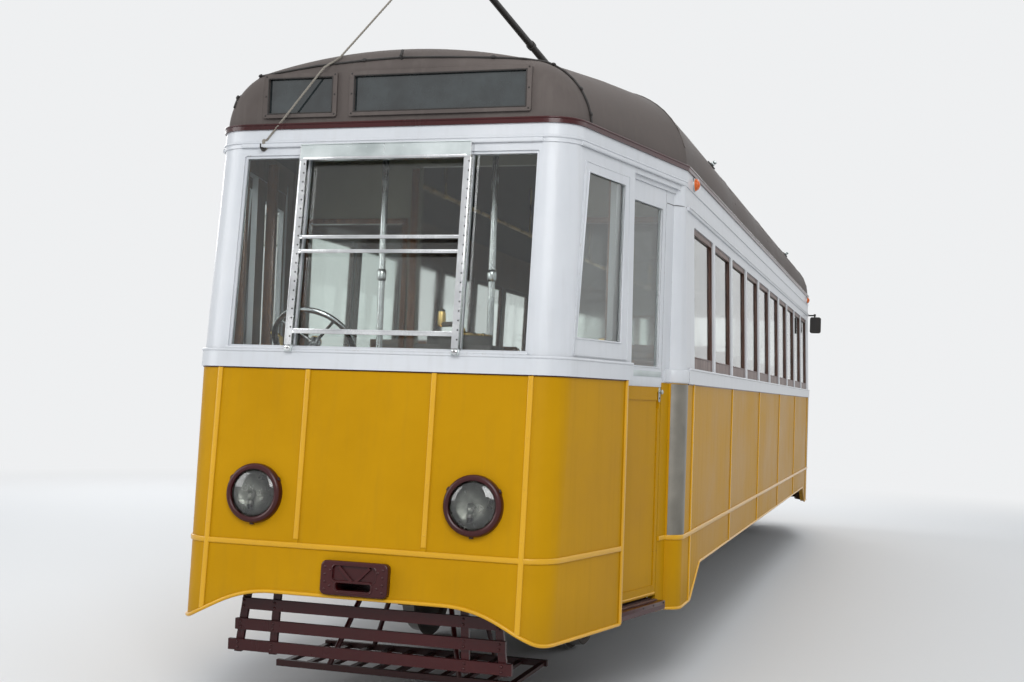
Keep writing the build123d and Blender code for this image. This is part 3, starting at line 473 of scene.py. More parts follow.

# %% [markdown]
# Finishes. Gloss enamel is one colour with a darker and a dustier cousin mixed in by the
# masks, and a coat for its shine. The numbers are linear tones: warm chrome yellow, a
# slightly blue white, brown-grey roof canvas, and a deep maroon on the ironwork.

# %% Paint finishes


def shader(name):
    """A material with an empty graph, its shader and output."""
    material = bpy.data.materials.new(name)
    material.use_nodes = True
    tree = material.node_tree
    tree.nodes.clear()
    bsdf = tree.nodes.new("ShaderNodeBsdfPrincipled")
    out = tree.nodes.new("ShaderNodeOutputMaterial")
    tree.links.new(bsdf.outputs[0], out.inputs[0])
    return material, tree, bsdf


def use(tree, source, **values):
    """Places a shared group with its own values."""
    node = tree.nodes.new("ShaderNodeGroup")
    node.node_tree = source
    for key, value in values.items():
        node.inputs[key.replace("_", " ")].default_value = value
    return node


def bump(tree, bsdf, height, strength, distance=0.001):
    node = add(tree, "Bump", Strength=strength, Distance=distance)
    tree.links.new(height, node.inputs["Height"])
    tree.links.new(node.outputs[0], bsdf.inputs["Normal"])
    return node


def paint(name, light, dark, dirt, chip, rough=0.28, coat=0.3, streaks=0.5, dust=0.75, peel=0.25,
          edge=0.005, boards=None, shine=0.35):
    """Old enamel; boards is a (light, dark) pair for the wood on the inner faces."""
    material, tree, bsdf = shader(name)
    age = use(tree, aged, Streaks=streaks, Dust_Top=dust, Edge_Size=edge)
    tone = blend_colour(tree, span(tree, age.outputs["Tone"], 0.3, 0.7), dark, light)
    soiled = blend_colour(tree, math_node(tree, "MULTIPLY", age.outputs["Dirt"], 0.75), tone, dirt)
    worn = blend_colour(tree, age.outputs["Chips"], soiled, chip)
    if boards:
        fibre = use(tree, grain, Along_X=14.0, Along_Y=14.0, Along_Z=1.2)
        timber = blend_colour(tree, fibre.outputs["Grain"], boards[1], boards[0])
        worn = blend_colour(tree, use(tree, lining).outputs["Mask"], worn, timber)
    join(tree, (worn, bsdf.inputs["Base Color"]))
    base = span(tree, age.outputs["Tone"], 0.2, 0.8, rough * 0.8, rough * 1.35)
    rougher = math_node(tree, "ADD", base, math_node(tree, "MULTIPLY", age.outputs["Dirt"], 0.35))
    join(tree, (rougher, bsdf.inputs["Roughness"]))
    bsdf.inputs["Specular IOR Level"].default_value = shine
    bsdf.inputs["Coat Weight"].default_value = coat
    bsdf.inputs["Coat Roughness"].default_value = 0.14
    bump(tree, bsdf, age.outputs["Height"], peel, 0.0006)
    return material


BOARDS = ((0.155, 0.075, 0.032), (0.080, 0.036, 0.016))
yellow = paint("yellow_enamel", (0.51, 0.262, 0.0025), (0.43, 0.215, 0.0018), (0.21, 0.125, 0.02),
               (0.12, 0.05, 0.03), rough=0.38, coat=0.0, streaks=0.35, dust=0.62, boards=BOARDS,
               shine=0.08)
# The beads, hems and pins take a lighter, glossier copy of the yellow. Its lighter tone is a
# painted highlight for the light that their rounded tops catch from above.
bead_yellow_painted_highlight = paint("yellow_beading", (0.66, 0.350, 0.006), (0.58, 0.300, 0.004),
                    (0.27, 0.160, 0.03), (0.12, 0.05, 0.03), rough=0.30, coat=0.25, streaks=0.2,
                    dust=0.30)
white = paint("white_enamel", (0.62, 0.635, 0.66), (0.54, 0.56, 0.59), (0.31, 0.29, 0.25),
              (0.30, 0.24, 0.18), rough=0.34, coat=0.16, streaks=0.35, dust=0.2, boards=BOARDS)
canvas = paint("roof_canvas", (0.125, 0.106, 0.098), (0.082, 0.069, 0.064), (0.17, 0.15, 0.135),
               (0.05, 0.04, 0.035), rough=0.60, coat=0.0, streaks=1.0, dust=0.2, peel=0.9,
               shine=0.12)
maroon = paint("maroon_enamel", (0.050, 0.0050, 0.006), (0.030, 0.0034, 0.004),
               (0.034, 0.020, 0.015), (0.04, 0.028, 0.023), rough=0.27, coat=0.22, streaks=0.35,
               dust=0.18, shine=0.22)
iron = paint("black_ironwork", (0.030, 0.027, 0.026), (0.018, 0.016, 0.015), (0.085, 0.068, 0.052),
             (0.10, 0.055, 0.03), rough=0.55, coat=0.0, streaks=0.6, dust=0.9, peel=0.8)
grey_iron = paint("grey_ironwork", (0.16, 0.15, 0.14), (0.11, 0.10, 0.095), (0.09, 0.07, 0.05),
                  (0.05, 0.04, 0.03), rough=0.5, coat=0.1, streaks=0.3, dust=0.3)
cream = paint("cream_woodwork", (0.30, 0.28, 0.21), (0.22, 0.205, 0.15), (0.14, 0.12, 0.09),
              (0.12, 0.08, 0.05), rough=0.38, coat=0.2, streaks=0.3, dust=0.2)
hemp = paint("hemp_rope", (0.34, 0.31, 0.27), (0.22, 0.20, 0.17), (0.15, 0.13, 0.10),
             (0.15, 0.13, 0.10), rough=0.9, coat=0.0, streaks=0.2, dust=0.2, peel=1.0)
print("paints", yellow.name, white.name, canvas.name)

# %% [markdown]
# Woods. Sashes are dark varnished hardwood, benches and cabin posts a warmer orange one,
# and the floor is worn pale slats. The grain group is stretched along the axis on which
# the real boards run, so posts use Z and floors use Y.

# %% Wood finishes


def wood(name, light, dark, along, rough=0.35, coat=0.3):
    material, tree, bsdf = shader(name)
    sizes = {"x": (1.2, 14.0, 14.0), "y": (14.0, 1.2, 14.0), "z": (14.0, 14.0, 1.2)}[along]
    fibre = use(tree, grain, Along_X=sizes[0], Along_Y=sizes[1], Along_Z=sizes[2])
    colour = blend_colour(tree, fibre.outputs["Grain"], dark, light)
    pored = blend_colour(tree, math_node(tree, "MULTIPLY", fibre.outputs["Pores"], 0.35), colour,
                         tuple(c * 0.35 for c in dark))
    join(tree, (pored, bsdf.inputs["Base Color"]))
    join(tree, (span(tree, fibre.outputs["Grain"], 0, 1, rough * 1.2, rough * 0.85),
                bsdf.inputs["Roughness"]))
    bsdf.inputs["Coat Weight"].default_value = coat
    bsdf.inputs["Coat Roughness"].default_value = 0.18
    bump(tree, bsdf, fibre.outputs["Grain"], 0.25, 0.0006)
    return material


sash_wood = wood("dark_sash_wood", (0.125, 0.045, 0.023), (0.055, 0.020, 0.011), "z", 0.45, 0.10)
bench_wood = wood("bench_wood", (0.33, 0.135, 0.042), (0.17, 0.062, 0.020), "x")
cabin_wood = wood("cabin_wood", (0.30, 0.125, 0.045), (0.15, 0.058, 0.022), "z")
step_wood = wood("step_boards", (0.125, 0.060, 0.048), (0.060, 0.028, 0.023), "y", 0.6, 0.0)
floor_wood = wood("floor_slats", (0.20, 0.135, 0.085), (0.10, 0.066, 0.040), "y", 0.6, 0.0)
roof_wood = wood("roof_boards", (0.17, 0.145, 0.12), (0.09, 0.075, 0.062), "y", 0.7, 0.0)

# %% [markdown]
# Metals. The windscreen guides and poles are bright steel, the doorway covers plain
# aluminium sheet, brushed up and down by years of sleeves, and the wheels dark steel with
# a polished tread. Metal shows as much by its roughness as by its colour.

# %% Metal finishes


def metal(name, light, dark, along, low, high, strength=0.2):
    material, tree, bsdf = shader(name)
    sizes = {"x": (4.0, 120.0, 120.0), "y": (120.0, 4.0, 120.0), "z": (120.0, 120.0, 4.0)}[along]
    marks = use(tree, scratch, Along_X=sizes[0], Along_Y=sizes[1], Along_Z=sizes[2])
    tint = blend_colour(tree, span(tree, marks.outputs["Smudge"], 0.35, 0.65), dark, light)
    join(tree, (tint, bsdf.inputs["Base Color"]))
    shine = math_node(tree, "ADD", span(tree, marks.outputs["Lines"], 0.3, 0.7, low, high),
                      span(tree, marks.outputs["Smudge"], 0.4, 0.7, 0.0, 0.14))
    join(tree, (shine, bsdf.inputs["Roughness"]))
    bsdf.inputs["Metallic"].default_value = 1.0
    bump(tree, bsdf, marks.outputs["Lines"], strength, 0.0003)
    return material


bright = metal("bright_steel", (0.72, 0.73, 0.74), (0.52, 0.53, 0.54), "z", 0.10, 0.26)
cover_metal = metal("doorway_aluminium", (0.25, 0.236, 0.205), (0.17, 0.16, 0.138), "z", 0.28,
                    0.48, 0.35)
galvanised = metal("galvanised_plate", (0.52, 0.56, 0.56), (0.36, 0.40, 0.40), "x", 0.30, 0.50)
tread_steel = metal("wheel_steel", (0.34, 0.32, 0.31), (0.13, 0.115, 0.10), "x", 0.32, 0.62, 0.4)


def wheel_finish():
    """Polished treads and flanges, oily dark webs: the web's faces look along the axle."""
    material, tree, bsdf = shader("wheel_steel")
    marks = use(tree, scratch, Along_X=120.0, Along_Y=8.0, Along_Z=8.0)
    axes = add(tree, "SeparateXYZ")
    join(tree, (add(tree, "NewGeometry").outputs["Normal"], axes.inputs[0]))
    web = span(tree, math_node(tree, "ABSOLUTE", axes.outputs["X"]), 0.35, 0.70)
    patches = span(tree, marks.outputs["Smudge"], 0.35, 0.65)
    polish = blend_colour(tree, patches, (0.30, 0.28, 0.26), (0.46, 0.45, 0.44))
    grime = blend_colour(tree, patches, (0.035, 0.027, 0.022), (0.080, 0.058, 0.042))
    join(tree, (blend_colour(tree, web, polish, grime), bsdf.inputs["Base Color"]),
         (span(tree, web, 0, 1, 1.0, 0.0), bsdf.inputs["Metallic"]),
         (span(tree, web, 0, 1, 0.30, 0.68), bsdf.inputs["Roughness"]))
    bump(tree, bsdf, marks.outputs["Lines"], 0.3, 0.0004)
    return material


rail_wheel = wheel_finish()
brass = metal("brass", (0.70, 0.50, 0.20), (0.50, 0.33, 0.11), "z", 0.16, 0.34)
copper = metal("contact_copper", (0.62, 0.33, 0.20), (0.40, 0.20, 0.12), "x", 0.25, 0.45)

# %% [markdown]
# Glass. A pane is thin and nearly colourless, with a film of dust that lifts its
# roughness in patches. Transmission stays a plain number, and only roughness varies. The
# sign panes are black behind the glass, so they are gloss over dark.

# %% Glass and lamp finishes


def pattern(tree, kind="TexNoise", **settings):
    """The first value of a texture that lies still on the piece."""
    texture = add(tree, kind, **settings)
    join(tree, (add(tree, "TexCoord").outputs["Object"], texture.inputs["Vector"]))
    return texture.outputs[0]


def glass(name, tint, rough=0.02, dusty=0.10):
    material, tree, bsdf = shader(name)
    bsdf.inputs["Base Color"].default_value = (*tint, 1)
    bsdf.inputs["Transmission Weight"].default_value = 1.0
    bsdf.inputs["IOR"].default_value = 1.45
    film = pattern(tree, Scale=2.2, Detail=6.0, Roughness=0.65)
    join(tree, (span(tree, film, 0.45, 0.75, rough, dusty), bsdf.inputs["Roughness"]))
    return material


pane_glass = glass("window_glass", (0.86, 0.90, 0.88))
lens_glass = glass("lamp_glass", (0.95, 0.96, 0.95), 0.01, 0.06)


def sign_pane():
    material, tree, bsdf = shader("sign_glass")
    cloud = pattern(tree, Scale=7.0, Detail=5.0, Roughness=0.6)
    dark = blend_colour(tree, span(tree, cloud, 0.35, 0.7), (0.012, 0.015, 0.016),
                        (0.030, 0.038, 0.040))
    join(tree, (dark, bsdf.inputs["Base Color"]),
         (span(tree, cloud, 0.3, 0.8, 0.05, 0.16), bsdf.inputs["Roughness"]))
    bsdf.inputs["Coat Weight"].default_value = 0.8
    bsdf.inputs["Coat Roughness"].default_value = 0.03
    return material


sign_glass = sign_pane()


def amber_lens():
    material, tree, bsdf = shader("amber_lens")
    cells = pattern(tree, "TexVoronoi", Scale=150.0)
    tint = blend_colour(tree, span(tree, cells, 0.0, 0.6), (0.85, 0.20, 0.01),
                        (0.60, 0.10, 0.005))
    join(tree, (tint, bsdf.inputs["Base Color"]))
    bsdf.inputs["Roughness"].default_value = 0.14
    bsdf.inputs["Subsurface Weight"].default_value = 0.25
    bsdf.inputs["Subsurface Radius"].default_value = (0.01, 0.004, 0.002)
    bump(tree, bsdf, cells, 0.3, 0.001)
    return material


amber = amber_lens()


def mirror_metal(name, light, dark, scale, start, rough, metallic):
    """Polished metal that dulls in patches; rough is its (least, most) roughness."""
    material, tree, bsdf = shader(name)
    film = pattern(tree, Scale=scale, Detail=4.0)
    tint = blend_colour(tree, span(tree, film, start, 0.7), light, dark)
    join(tree, (tint, bsdf.inputs["Base Color"]),
         (span(tree, film, 0.3, 0.7, *rough), bsdf.inputs["Roughness"]))
    bsdf.inputs["Metallic"].default_value = metallic
    return material


silver = mirror_metal("silvered_bowl", (0.80, 0.80, 0.77), (0.52, 0.52, 0.48), 30.0, 0.4,
                      (0.10, 0.30), 1.0)
# The lamp dish is silvered metal like the bowl. Its dark tone is painted shade that stands for the
# shade deep inside the lamp.
dish_metal_painted_shade = mirror_metal("lamp_dish", (0.21, 0.215, 0.19), (0.115, 0.12, 0.105), 26.0, 0.35,
                          (0.22, 0.42), 0.75)
print("materials", len(bpy.data.materials))

# %% [markdown]
# Every solid gets the finish of the real piece. Solids keep their shape; only their
# material changes, so the table below is also a guide to what the car is made of.

# %% Finishes of the solids
FINISH = {
    "side_panels": yellow, "dashes": yellow, "jamb_covers": cover_metal,
    "window_walls": white, "end_shells": white, "cornice_trim": maroon,
    "sign_frames": canvas, "sign_glass": sign_glass, "roof": canvas,
    "side_sashes": sash_wood, "side_glass": pane_glass, "end_sashes": white,
    "end_glass": pane_glass, "screen_guides": bright, "floor": floor_wood,
    "platform_floors": floor_wood, "steps": maroon, "bulkheads": cream,
    "seat_benches": bench_wood, "seat_stands": iron, "controllers": grey_iron,
    "brake_wheels": bright, "grab_poles": bright, "headlamp_rims": maroon,
    "headlamp_glass": lens_glass, "headlamp_bowls": silver, "coupler_pockets": maroon,
    "underframe": iron, "body_bolsters": iron, "platform_bearers": iron,
    "underfloor_gear": iron, "fender_gates": maroon, "lifeguard_trays": maroon,
    "marker_lamps": amber, "mirrors": iron, "roof_walk": roof_wood,
    "trolley_base": iron, "trolley_pole": iron,
}
for name, thing in frame["nodes"].items():
    if name.startswith("door_"):
        last = name.rsplit("_", 1)[1]
        finish = {"frame": white, "panel": yellow, "glass": pane_glass}[last]
    elif name.startswith(("bogie_", "motors_", "brakes_")):
        finish = iron
    elif name.startswith("wheelset"):
        finish = rail_wheel
    else:
        finish = FINISH[name]
    thing.data.materials.clear()
    thing.data.materials.append(finish)
print("finished solids", len(frame["nodes"]))

# %% [markdown]
# Two tools make the added pieces. The first grows a piece with Geometry Nodes from a
# plain trail: a line of points that also stores which way is out. Two trees sweep a
# rounded bead or a flat bar along it, one sets a fastener on every point, one winds a
# spring. The tree reads the direction from the stored attribute, so a bead can turn any
# corner.

# %% Geometry trees: shared set-up
ONE = [Matrix()]


def flips(*pairs):
    return [Matrix.Diagonal((x, y, 1, 1)) for x, y in pairs]


SIDES = flips((1, 1), (-1, 1))
ENDS = flips((1, 1), (1, -1))
CORNERS = flips((1, 1), (-1, 1), (1, -1), (-1, -1))
DRIVER = flips((1, -1), (-1, 1))
DOORS = {
    "door_front_right": flips((1, -1)),
    "door_front_left": flips((-1, -1)),
    "door_rear_right": flips((1, 1)),
    "door_rear_left": flips((-1, 1)),
}
KINDS = {"Float": "NodeSocketFloat", "Int": "NodeSocketInt", "Material": "NodeSocketMaterial"}


def geometry_tree(name, inputs):
    """An empty tree with Geometry in and out and the named inputs."""
    tree = bpy.data.node_groups.new(name, "GeometryNodeTree")
    face = tree.interface
    face.new_socket("Geometry", in_out="INPUT", socket_type="NodeSocketGeometry")
    for key, (kind, value) in inputs.items():
        socket = face.new_socket(key, in_out="INPUT", socket_type=KINDS[kind])
        if value is not None:
            socket.default_value = value
    face.new_socket("Geometry", in_out="OUTPUT", socket_type="NodeSocketGeometry")
    return tree, tree.nodes.new("NodeGroupInput"), tree.nodes.new("NodeGroupOutput")


def geo(tree, kind, prefix="GeometryNode", **options):
    node = tree.nodes.new(prefix + kind)
    for key, value in options.items():
        setattr(node, key, value)
    return node


def stored(tree, name):
    """Reads a direction that the trail carries."""
    node = geo(tree, "InputNamedAttribute", data_type="FLOAT_VECTOR")
    node.inputs["Name"].default_value = name
    return node.outputs["Attribute"]


def end_tree(tree, geometry, i, o):
    """Realises what was grown and gives it its material."""
    real = geo(tree, "RealizeInstances")
    coat = geo(tree, "SetMaterial")
    join(
        tree,
        (geometry, real.inputs[0]),
        (real.outputs[0], coat.inputs["Geometry"]),
        (i.outputs["Material"], coat.inputs["Material"]),
        (coat.outputs[0], o.inputs[0]),
    )


# %% [markdown]
# Beads and bars are both a section swept along the trail. A bead's section is a squeezed
# circle, a bar's is a rectangle with softened corners, because flat strips on the car have
# small round edges that catch the light. The curve's normal is the stored direction.

# %% Geometry trees: bead and flat bar along a trail


def sweep(tree, i, section):
    """Sweeps a section along the trail, its X along the stored outward direction."""
    to_curve = geo(tree, "MeshToCurve")
    turn = geo(tree, "SetCurveNormal", mode="FREE")
    swept = geo(tree, "CurveToMesh")
    swept.inputs["Fill Caps"].default_value = True
    join(
        tree,
        (i.outputs["Geometry"], to_curve.inputs["Mesh"]),
        (to_curve.outputs[0], turn.inputs["Curve"]),
        (stored(tree, "out"), turn.inputs["Normal"]),
        (turn.outputs[0], swept.inputs["Curve"]),
        (section, swept.inputs["Profile Curve"]),
    )
    return swept.outputs[0]


def smoothed(tree, geometry):
    smooth = geo(tree, "SetShadeSmooth")
    join(tree, (geometry, smooth.inputs["Geometry"]))
    return smooth.outputs[0]


def scaled(tree, geometry, *sizes):
    """The geometry scaled along X, Y and Z by sockets or numbers."""
    scale = geo(tree, "CombineXYZ", "ShaderNode")
    shape = geo(tree, "Transform")
    for socket, size in zip(scale.inputs, sizes):
        if isinstance(size, float):
            socket.default_value = size
        else:
            join(tree, (size, socket))
    join(tree, (geometry, shape.inputs["Geometry"]), (scale.outputs[0], shape.inputs["Scale"]))
    return shape.outputs[0]


bead_tree, i, o = geometry_tree(
    "bead_along",
    {"Half Width": ("Float", 0.011), "Rise": ("Float", 0.007), "Sides": ("Int", 12),
     "Material": ("Material", None)},
)
ring = geo(bead_tree, "CurvePrimitiveCircle")
ring.inputs["Radius"].default_value = 1.0
join(bead_tree, (i.outputs["Sides"], ring.inputs["Resolution"]))
section = scaled(bead_tree, ring.outputs["Curve"], i.outputs["Rise"], i.outputs["Half Width"],
                 1.0)
end_tree(bead_tree, smoothed(bead_tree, sweep(bead_tree, i, section)), i, o)

bar_tree, i, o = geometry_tree(
    "bar_along",
    {"Width": ("Float", 0.04), "Depth": ("Float", 0.012), "Round": ("Float", 0.003),
     "Material": ("Material", None)},
)
section = geo(bar_tree, "CurvePrimitiveQuadrilateral")
soften = geo(bar_tree, "FilletCurve", mode="POLY")
soften.inputs["Count"].default_value = 2
join(
    bar_tree,
    (i.outputs["Depth"], section.inputs["Width"]),
    (i.outputs["Width"], section.inputs["Height"]),
    (section.outputs[0], soften.inputs["Curve"]),
    (i.outputs["Round"], soften.inputs["Radius"]),
)
end_tree(bar_tree, sweep(bar_tree, i, soften.outputs[0]), i, o)
print("sweeps", bead_tree.name, bar_tree.name)

# %% [markdown]
# Rivets, screws, bolts and springs repeat one small shape. It is instanced on each point
# of the trail and turned so that its Z looks out of the surface there.

# %% Geometry trees: fastener and coil spring on every point


def on_points(tree, i, shape):
    """One copy of the shape on each point of the trail, its Z outwards."""
    points = geo(tree, "MeshToPoints")
    aim = geo(tree, "AlignRotationToVector", "FunctionNode", axis="Z")
    place = geo(tree, "InstanceOnPoints")
    join(
        tree,
        (i.outputs["Geometry"], points.inputs["Mesh"]),
        (points.outputs[0], place.inputs["Points"]),
        (shape, place.inputs["Instance"]),
        (stored(tree, "out"), aim.inputs["Vector"]),
        (aim.outputs[0], place.inputs["Rotation"]),
    )
    return place.outputs[0]


stud_tree, i, o = geometry_tree(
    "fasteners",
    {"Radius": ("Float", 0.006), "Rise": ("Float", 0.003), "Sides": ("Int", 12),
     "Rings": ("Int", 6), "Material": ("Material", None)},
)
dome = geo(stud_tree, "MeshUVSphere")
dome.inputs["Radius"].default_value = 1.0
join(stud_tree, (i.outputs["Sides"], dome.inputs["Segments"]),
     (i.outputs["Rings"], dome.inputs["Rings"]))
stud = scaled(stud_tree, smoothed(stud_tree, dome.outputs["Mesh"]), i.outputs["Radius"],
              i.outputs["Radius"], i.outputs["Rise"])
end_tree(stud_tree, on_points(stud_tree, i, stud), i, o)

coil_tree, i, o = geometry_tree(
    "coil_springs",
    {"Radius": ("Float", 0.04), "Wire": ("Float", 0.008), "Length": ("Float", 0.1),
     "Turns": ("Float", 5.0), "Material": ("Material", None)},
)
wind = geo(coil_tree, "CurveSpiral")
wind.inputs["Resolution"].default_value = 20
wire = geo(coil_tree, "CurvePrimitiveCircle")
wire.inputs["Resolution"].default_value = 8
thick = geo(coil_tree, "CurveToMesh")
thick.inputs["Fill Caps"].default_value = True
join(
    coil_tree,
    (i.outputs["Turns"], wind.inputs["Rotations"]),
    (i.outputs["Radius"], wind.inputs["Start Radius"]),
    (i.outputs["Radius"], wind.inputs["End Radius"]),
    (i.outputs["Length"], wind.inputs["Height"]),
    (i.outputs["Wire"], wire.inputs["Radius"]),
    (wind.outputs[0], thick.inputs["Curve"]),
    (wire.outputs["Curve"], thick.inputs["Profile Curve"]),
)
end_tree(coil_tree, on_points(coil_tree, i, smoothed(coil_tree, thick.outputs[0])), i, o)
print("instanced", stud_tree.name, coil_tree.name)

# %% [markdown]
# Growing a piece. A trail is made from lists of (point, outward direction) pairs, once
# for every mirrored copy. The tree's result then becomes a plain mesh with its normals
# turned outward, and rides on the body that it belongs to.

# %% Growing a piece from a trail
CAR = "car_body"
grown = []


def trail(paths, copies=ONE):
    """Edges through each path of (point, out) pairs; a path of one point stays a point."""
    verts, edges, outs = [], [], []
    for matrix in copies:
        for path in paths:
            closed = path[0] == "closed"
            pairs = path[1:] if closed else path
            first = len(verts)
            for point, out in pairs:
                verts.append(matrix @ Vector(point))
                outs.extend((matrix.to_3x3() @ Vector(out)).normalized())
            count = len(pairs)
            edges += [(first + k, first + k + 1) for k in range(count - 1)]
            if closed:
                edges.append((first + count - 1, first))
    mesh = bpy.data.meshes.new("trail")
    mesh.from_pydata(verts, edges, [])
    layer = mesh.attributes.new("out", "FLOAT_VECTOR", "POINT")
    layer.data.foreach_set("vector", outs)
    return mesh


def grow(name, tree, material, paths, copies=ONE, body=CAR, **values):
    """Grows one piece, turns it into a plain mesh and seats it on its body."""
    thing = bpy.data.objects.new(name, trail(paths, copies))
    scene.collection.objects.link(thing)
    modifier = thing.modifiers.new("grow", "NODES")
    modifier.node_group = tree
    values["Material"] = material
    for item in tree.interface.items_tree:
        key = item.name.replace(" ", "_")
        if item.item_type == "SOCKET" and item.in_out == "INPUT" and key in values:
            modifier[item.identifier] = values[key]
    bpy.context.view_layer.update()
    graph = bpy.context.evaluated_depsgraph_get()
    solid = bpy.data.meshes.new_from_object(thing.evaluated_get(graph))
    thing.modifiers.clear()
    thing.data = solid
    solid.name = name
    shape = bmesh.new()
    shape.from_mesh(solid)
    bmesh.ops.recalc_face_normals(shape, faces=shape.faces)
    shape.to_mesh(solid)
    shape.free()
    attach(thing, body)
    grown.append((name, len(solid.polygons)))
    return thing


def studs(name, material, spots, radius, rise, copies=ONE, body=CAR, sides=10, rings=6):
    """A fastener on every (point, out) spot, radius wide and rise high."""
    grow(name, stud_tree, material, [[spot] for spot in spots], copies, body, Radius=radius,
         Rise=rise, Sides=sides, Rings=rings)


print("trees", [t.name for t in (bead_tree, bar_tree, stud_tree, coil_tree)])

# %% [markdown]
# The second tool is a small workshop for single pieces: blocks with softened edges,
# turned shapes, plates cut to an outline, and round bars. Each is made in a frame, a
# matrix whose Z points out of the surface it sits on, so one call fits any panel.

# %% Workshop for single pieces


def at(x, y, z):
    return Matrix.Translation((x, y, z))


def frame_at(point, out, up=(0, 0, 1)):
    """A frame at a point: Z outward, Y as near to up as it can be."""
    z = Vector(out).normalized()
    x = Vector(up).cross(z)
    if x.length < 1e-6:
        x = Vector((1, 0, 0))
    x.normalize()
    y = z.cross(x)
    return Matrix.Translation(Vector(point)) @ Matrix((x, y, z)).transposed().to_4x4()


class Maker:
    """Collects shapes in one mesh; slot says which of its materials each one takes."""

    def __init__(self, *materials):
        self.bm = bmesh.new()
        self.materials = materials

    def settle(self, before, slot):
        fresh = [f for f in self.bm.faces if f not in before]
        for face in fresh:
            face.material_index = slot
            face.smooth = True
        bmesh.ops.recalc_face_normals(self.bm, faces=fresh)

    def block(self, frame, size, slot=0, soft=0.002, steps=2):
        before = set(self.bm.faces)
        matrix = frame @ Matrix.Diagonal((*size, 1))
        made = bmesh.ops.create_cube(self.bm, size=1.0, matrix=matrix)["verts"]
        if soft > 0:
            edges = list(dict.fromkeys(e for v in made for e in v.link_edges))  # each once
            bmesh.ops.bevel(self.bm, geom=edges, offset=soft, segments=steps, profile=0.5,
                            affect="EDGES")
        self.settle(before, slot)

    def turned(self, frame, profile, slot=0, steps=32):
        """Turns (radius, height) pairs about the frame's Z."""
        before = set(self.bm.faces)
        rings = []
        for radius, height in profile:
            count = steps if radius > 1e-6 else 1
            ring = []
            for k in range(count):
                a = 2 * pi * k / steps
                place = Vector((radius * cos(a), radius * sin(a), height))
                ring.append(self.bm.verts.new(frame @ place))
            rings.append(ring)
        for a, b in zip(rings, rings[1:]):
            for k in range(steps):
                j = (k + 1) % steps
                loop = [a[k % len(a)], a[j % len(a)], b[j % len(b)], b[k % len(b)]]
                corners = list(dict.fromkeys(loop))
                if len(corners) > 2:
                    self.bm.faces.new(corners)
        self.settle(before, slot)

    def plate(self, frame, outline, depth, slot=0, soft=0.0):
        """Pushes an outline of (x, y) pairs out along the frame's Z."""
        before = set(self.bm.faces)
        low = [self.bm.verts.new(frame @ Vector((x, y, 0))) for x, y in outline]
        high = [self.bm.verts.new(frame @ Vector((x, y, depth))) for x, y in outline]
        self.bm.faces.new(low[::-1])
        top = self.bm.faces.new(high)
        for k in range(len(low)):
            j = (k + 1) % len(low)
            self.bm.faces.new((low[k], low[j], high[j], high[k]))
        if soft:
            bmesh.ops.bevel(self.bm, geom=list(top.edges), offset=soft, segments=2,
                            profile=0.5, affect="EDGES")
        self.settle(before, slot)

    def bar(self, points, radius, slot=0, sides=10):
        """A round bar through points, its ends closed."""
        before = set(self.bm.faces)
        points = [Vector(p) for p in points]
        rings = []
        side = None
        for k, point in enumerate(points):
            ahead = points[min(k + 1, len(points) - 1)] - points[max(k - 1, 0)]
            ahead.normalize()
            if side is None:
                side = ahead.orthogonal().normalized()
            side = (side - ahead * side.dot(ahead)).normalized()
            other = ahead.cross(side)
            ring = []
            for n in range(sides):
                a = 2 * pi * n / sides
                ring.append(self.bm.verts.new(point + radius * (side * cos(a) + other * sin(a))))
            rings.append(ring)
        for a, b in zip(rings, rings[1:]):
            for n in range(sides):
                j = (n + 1) % sides
                self.bm.faces.new((a[n], a[j], b[j], b[n]))
        self.bm.faces.new(rings[0][::-1])
        self.bm.faces.new(rings[-1])
        self.settle(before, slot)

    def put_in_order(self):
        """Orders vertices and faces by place, because a bevel leaves them in any order."""
        for parts, place in ((self.bm.verts, lambda v: v.co),
                             (self.bm.faces, lambda f: f.calc_center_median())):
            ranked = sorted(parts, key=lambda part: [round(c, 6) for c in place(part)])
            for n, part in enumerate(ranked):
                part.index = n
            parts.sort()

    def done(self, name, body, copies=ONE, angle=35):
        """Copies the shapes by each matrix, makes the object and seats it."""
        base = bpy.data.meshes.new(name)
        self.put_in_order()
        self.bm.to_mesh(base)
        self.bm.free()
        whole = bmesh.new()
        for matrix in copies:
            v0, f0 = len(whole.verts), len(whole.faces)
            whole.from_mesh(base)
            whole.verts.ensure_lookup_table()
            whole.faces.ensure_lookup_table()
            bmesh.ops.transform(whole, matrix=matrix, verts=whole.verts[v0:])
            if matrix.determinant() < 0:
                bmesh.ops.reverse_faces(whole, faces=whole.faces[f0:])
        whole.to_mesh(base)
        whole.free()
        base.set_sharp_from_angle(angle=radians(angle))
        for material in self.materials:
            base.materials.append(material)
        thing = bpy.data.objects.new(name, base)
        scene.collection.objects.link(thing)
        if body:
            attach(thing, body)
        grown.append((name, len(base.polygons)))
        return thing


def softened(points, radius, steps=6):
    """Rounds the inner corners of a line of 2-D points."""
    made = [points[0]]
    for a, b, c in zip(points, points[1:], points[2:]):
        a, b, c = Vector(a), Vector(b), Vector(c)
        to_a, to_c = (a - b).normalized(), (c - b).normalized()
        half = to_a.angle(to_c) / 2
        if half > pi / 2 - 0.01:
            made.append(tuple(b))
            continue
        cut = min(radius / tan(half), (a - b).length * 0.49, (c - b).length * 0.49)
        for k in range(steps + 1):
            t = k / steps
            p = (b + to_a * cut) * (1 - t) ** 2 + b * 2 * t * (1 - t) + (b + to_c * cut) * t**2
            made.append(tuple(p))
    made.append(points[-1])
    return made


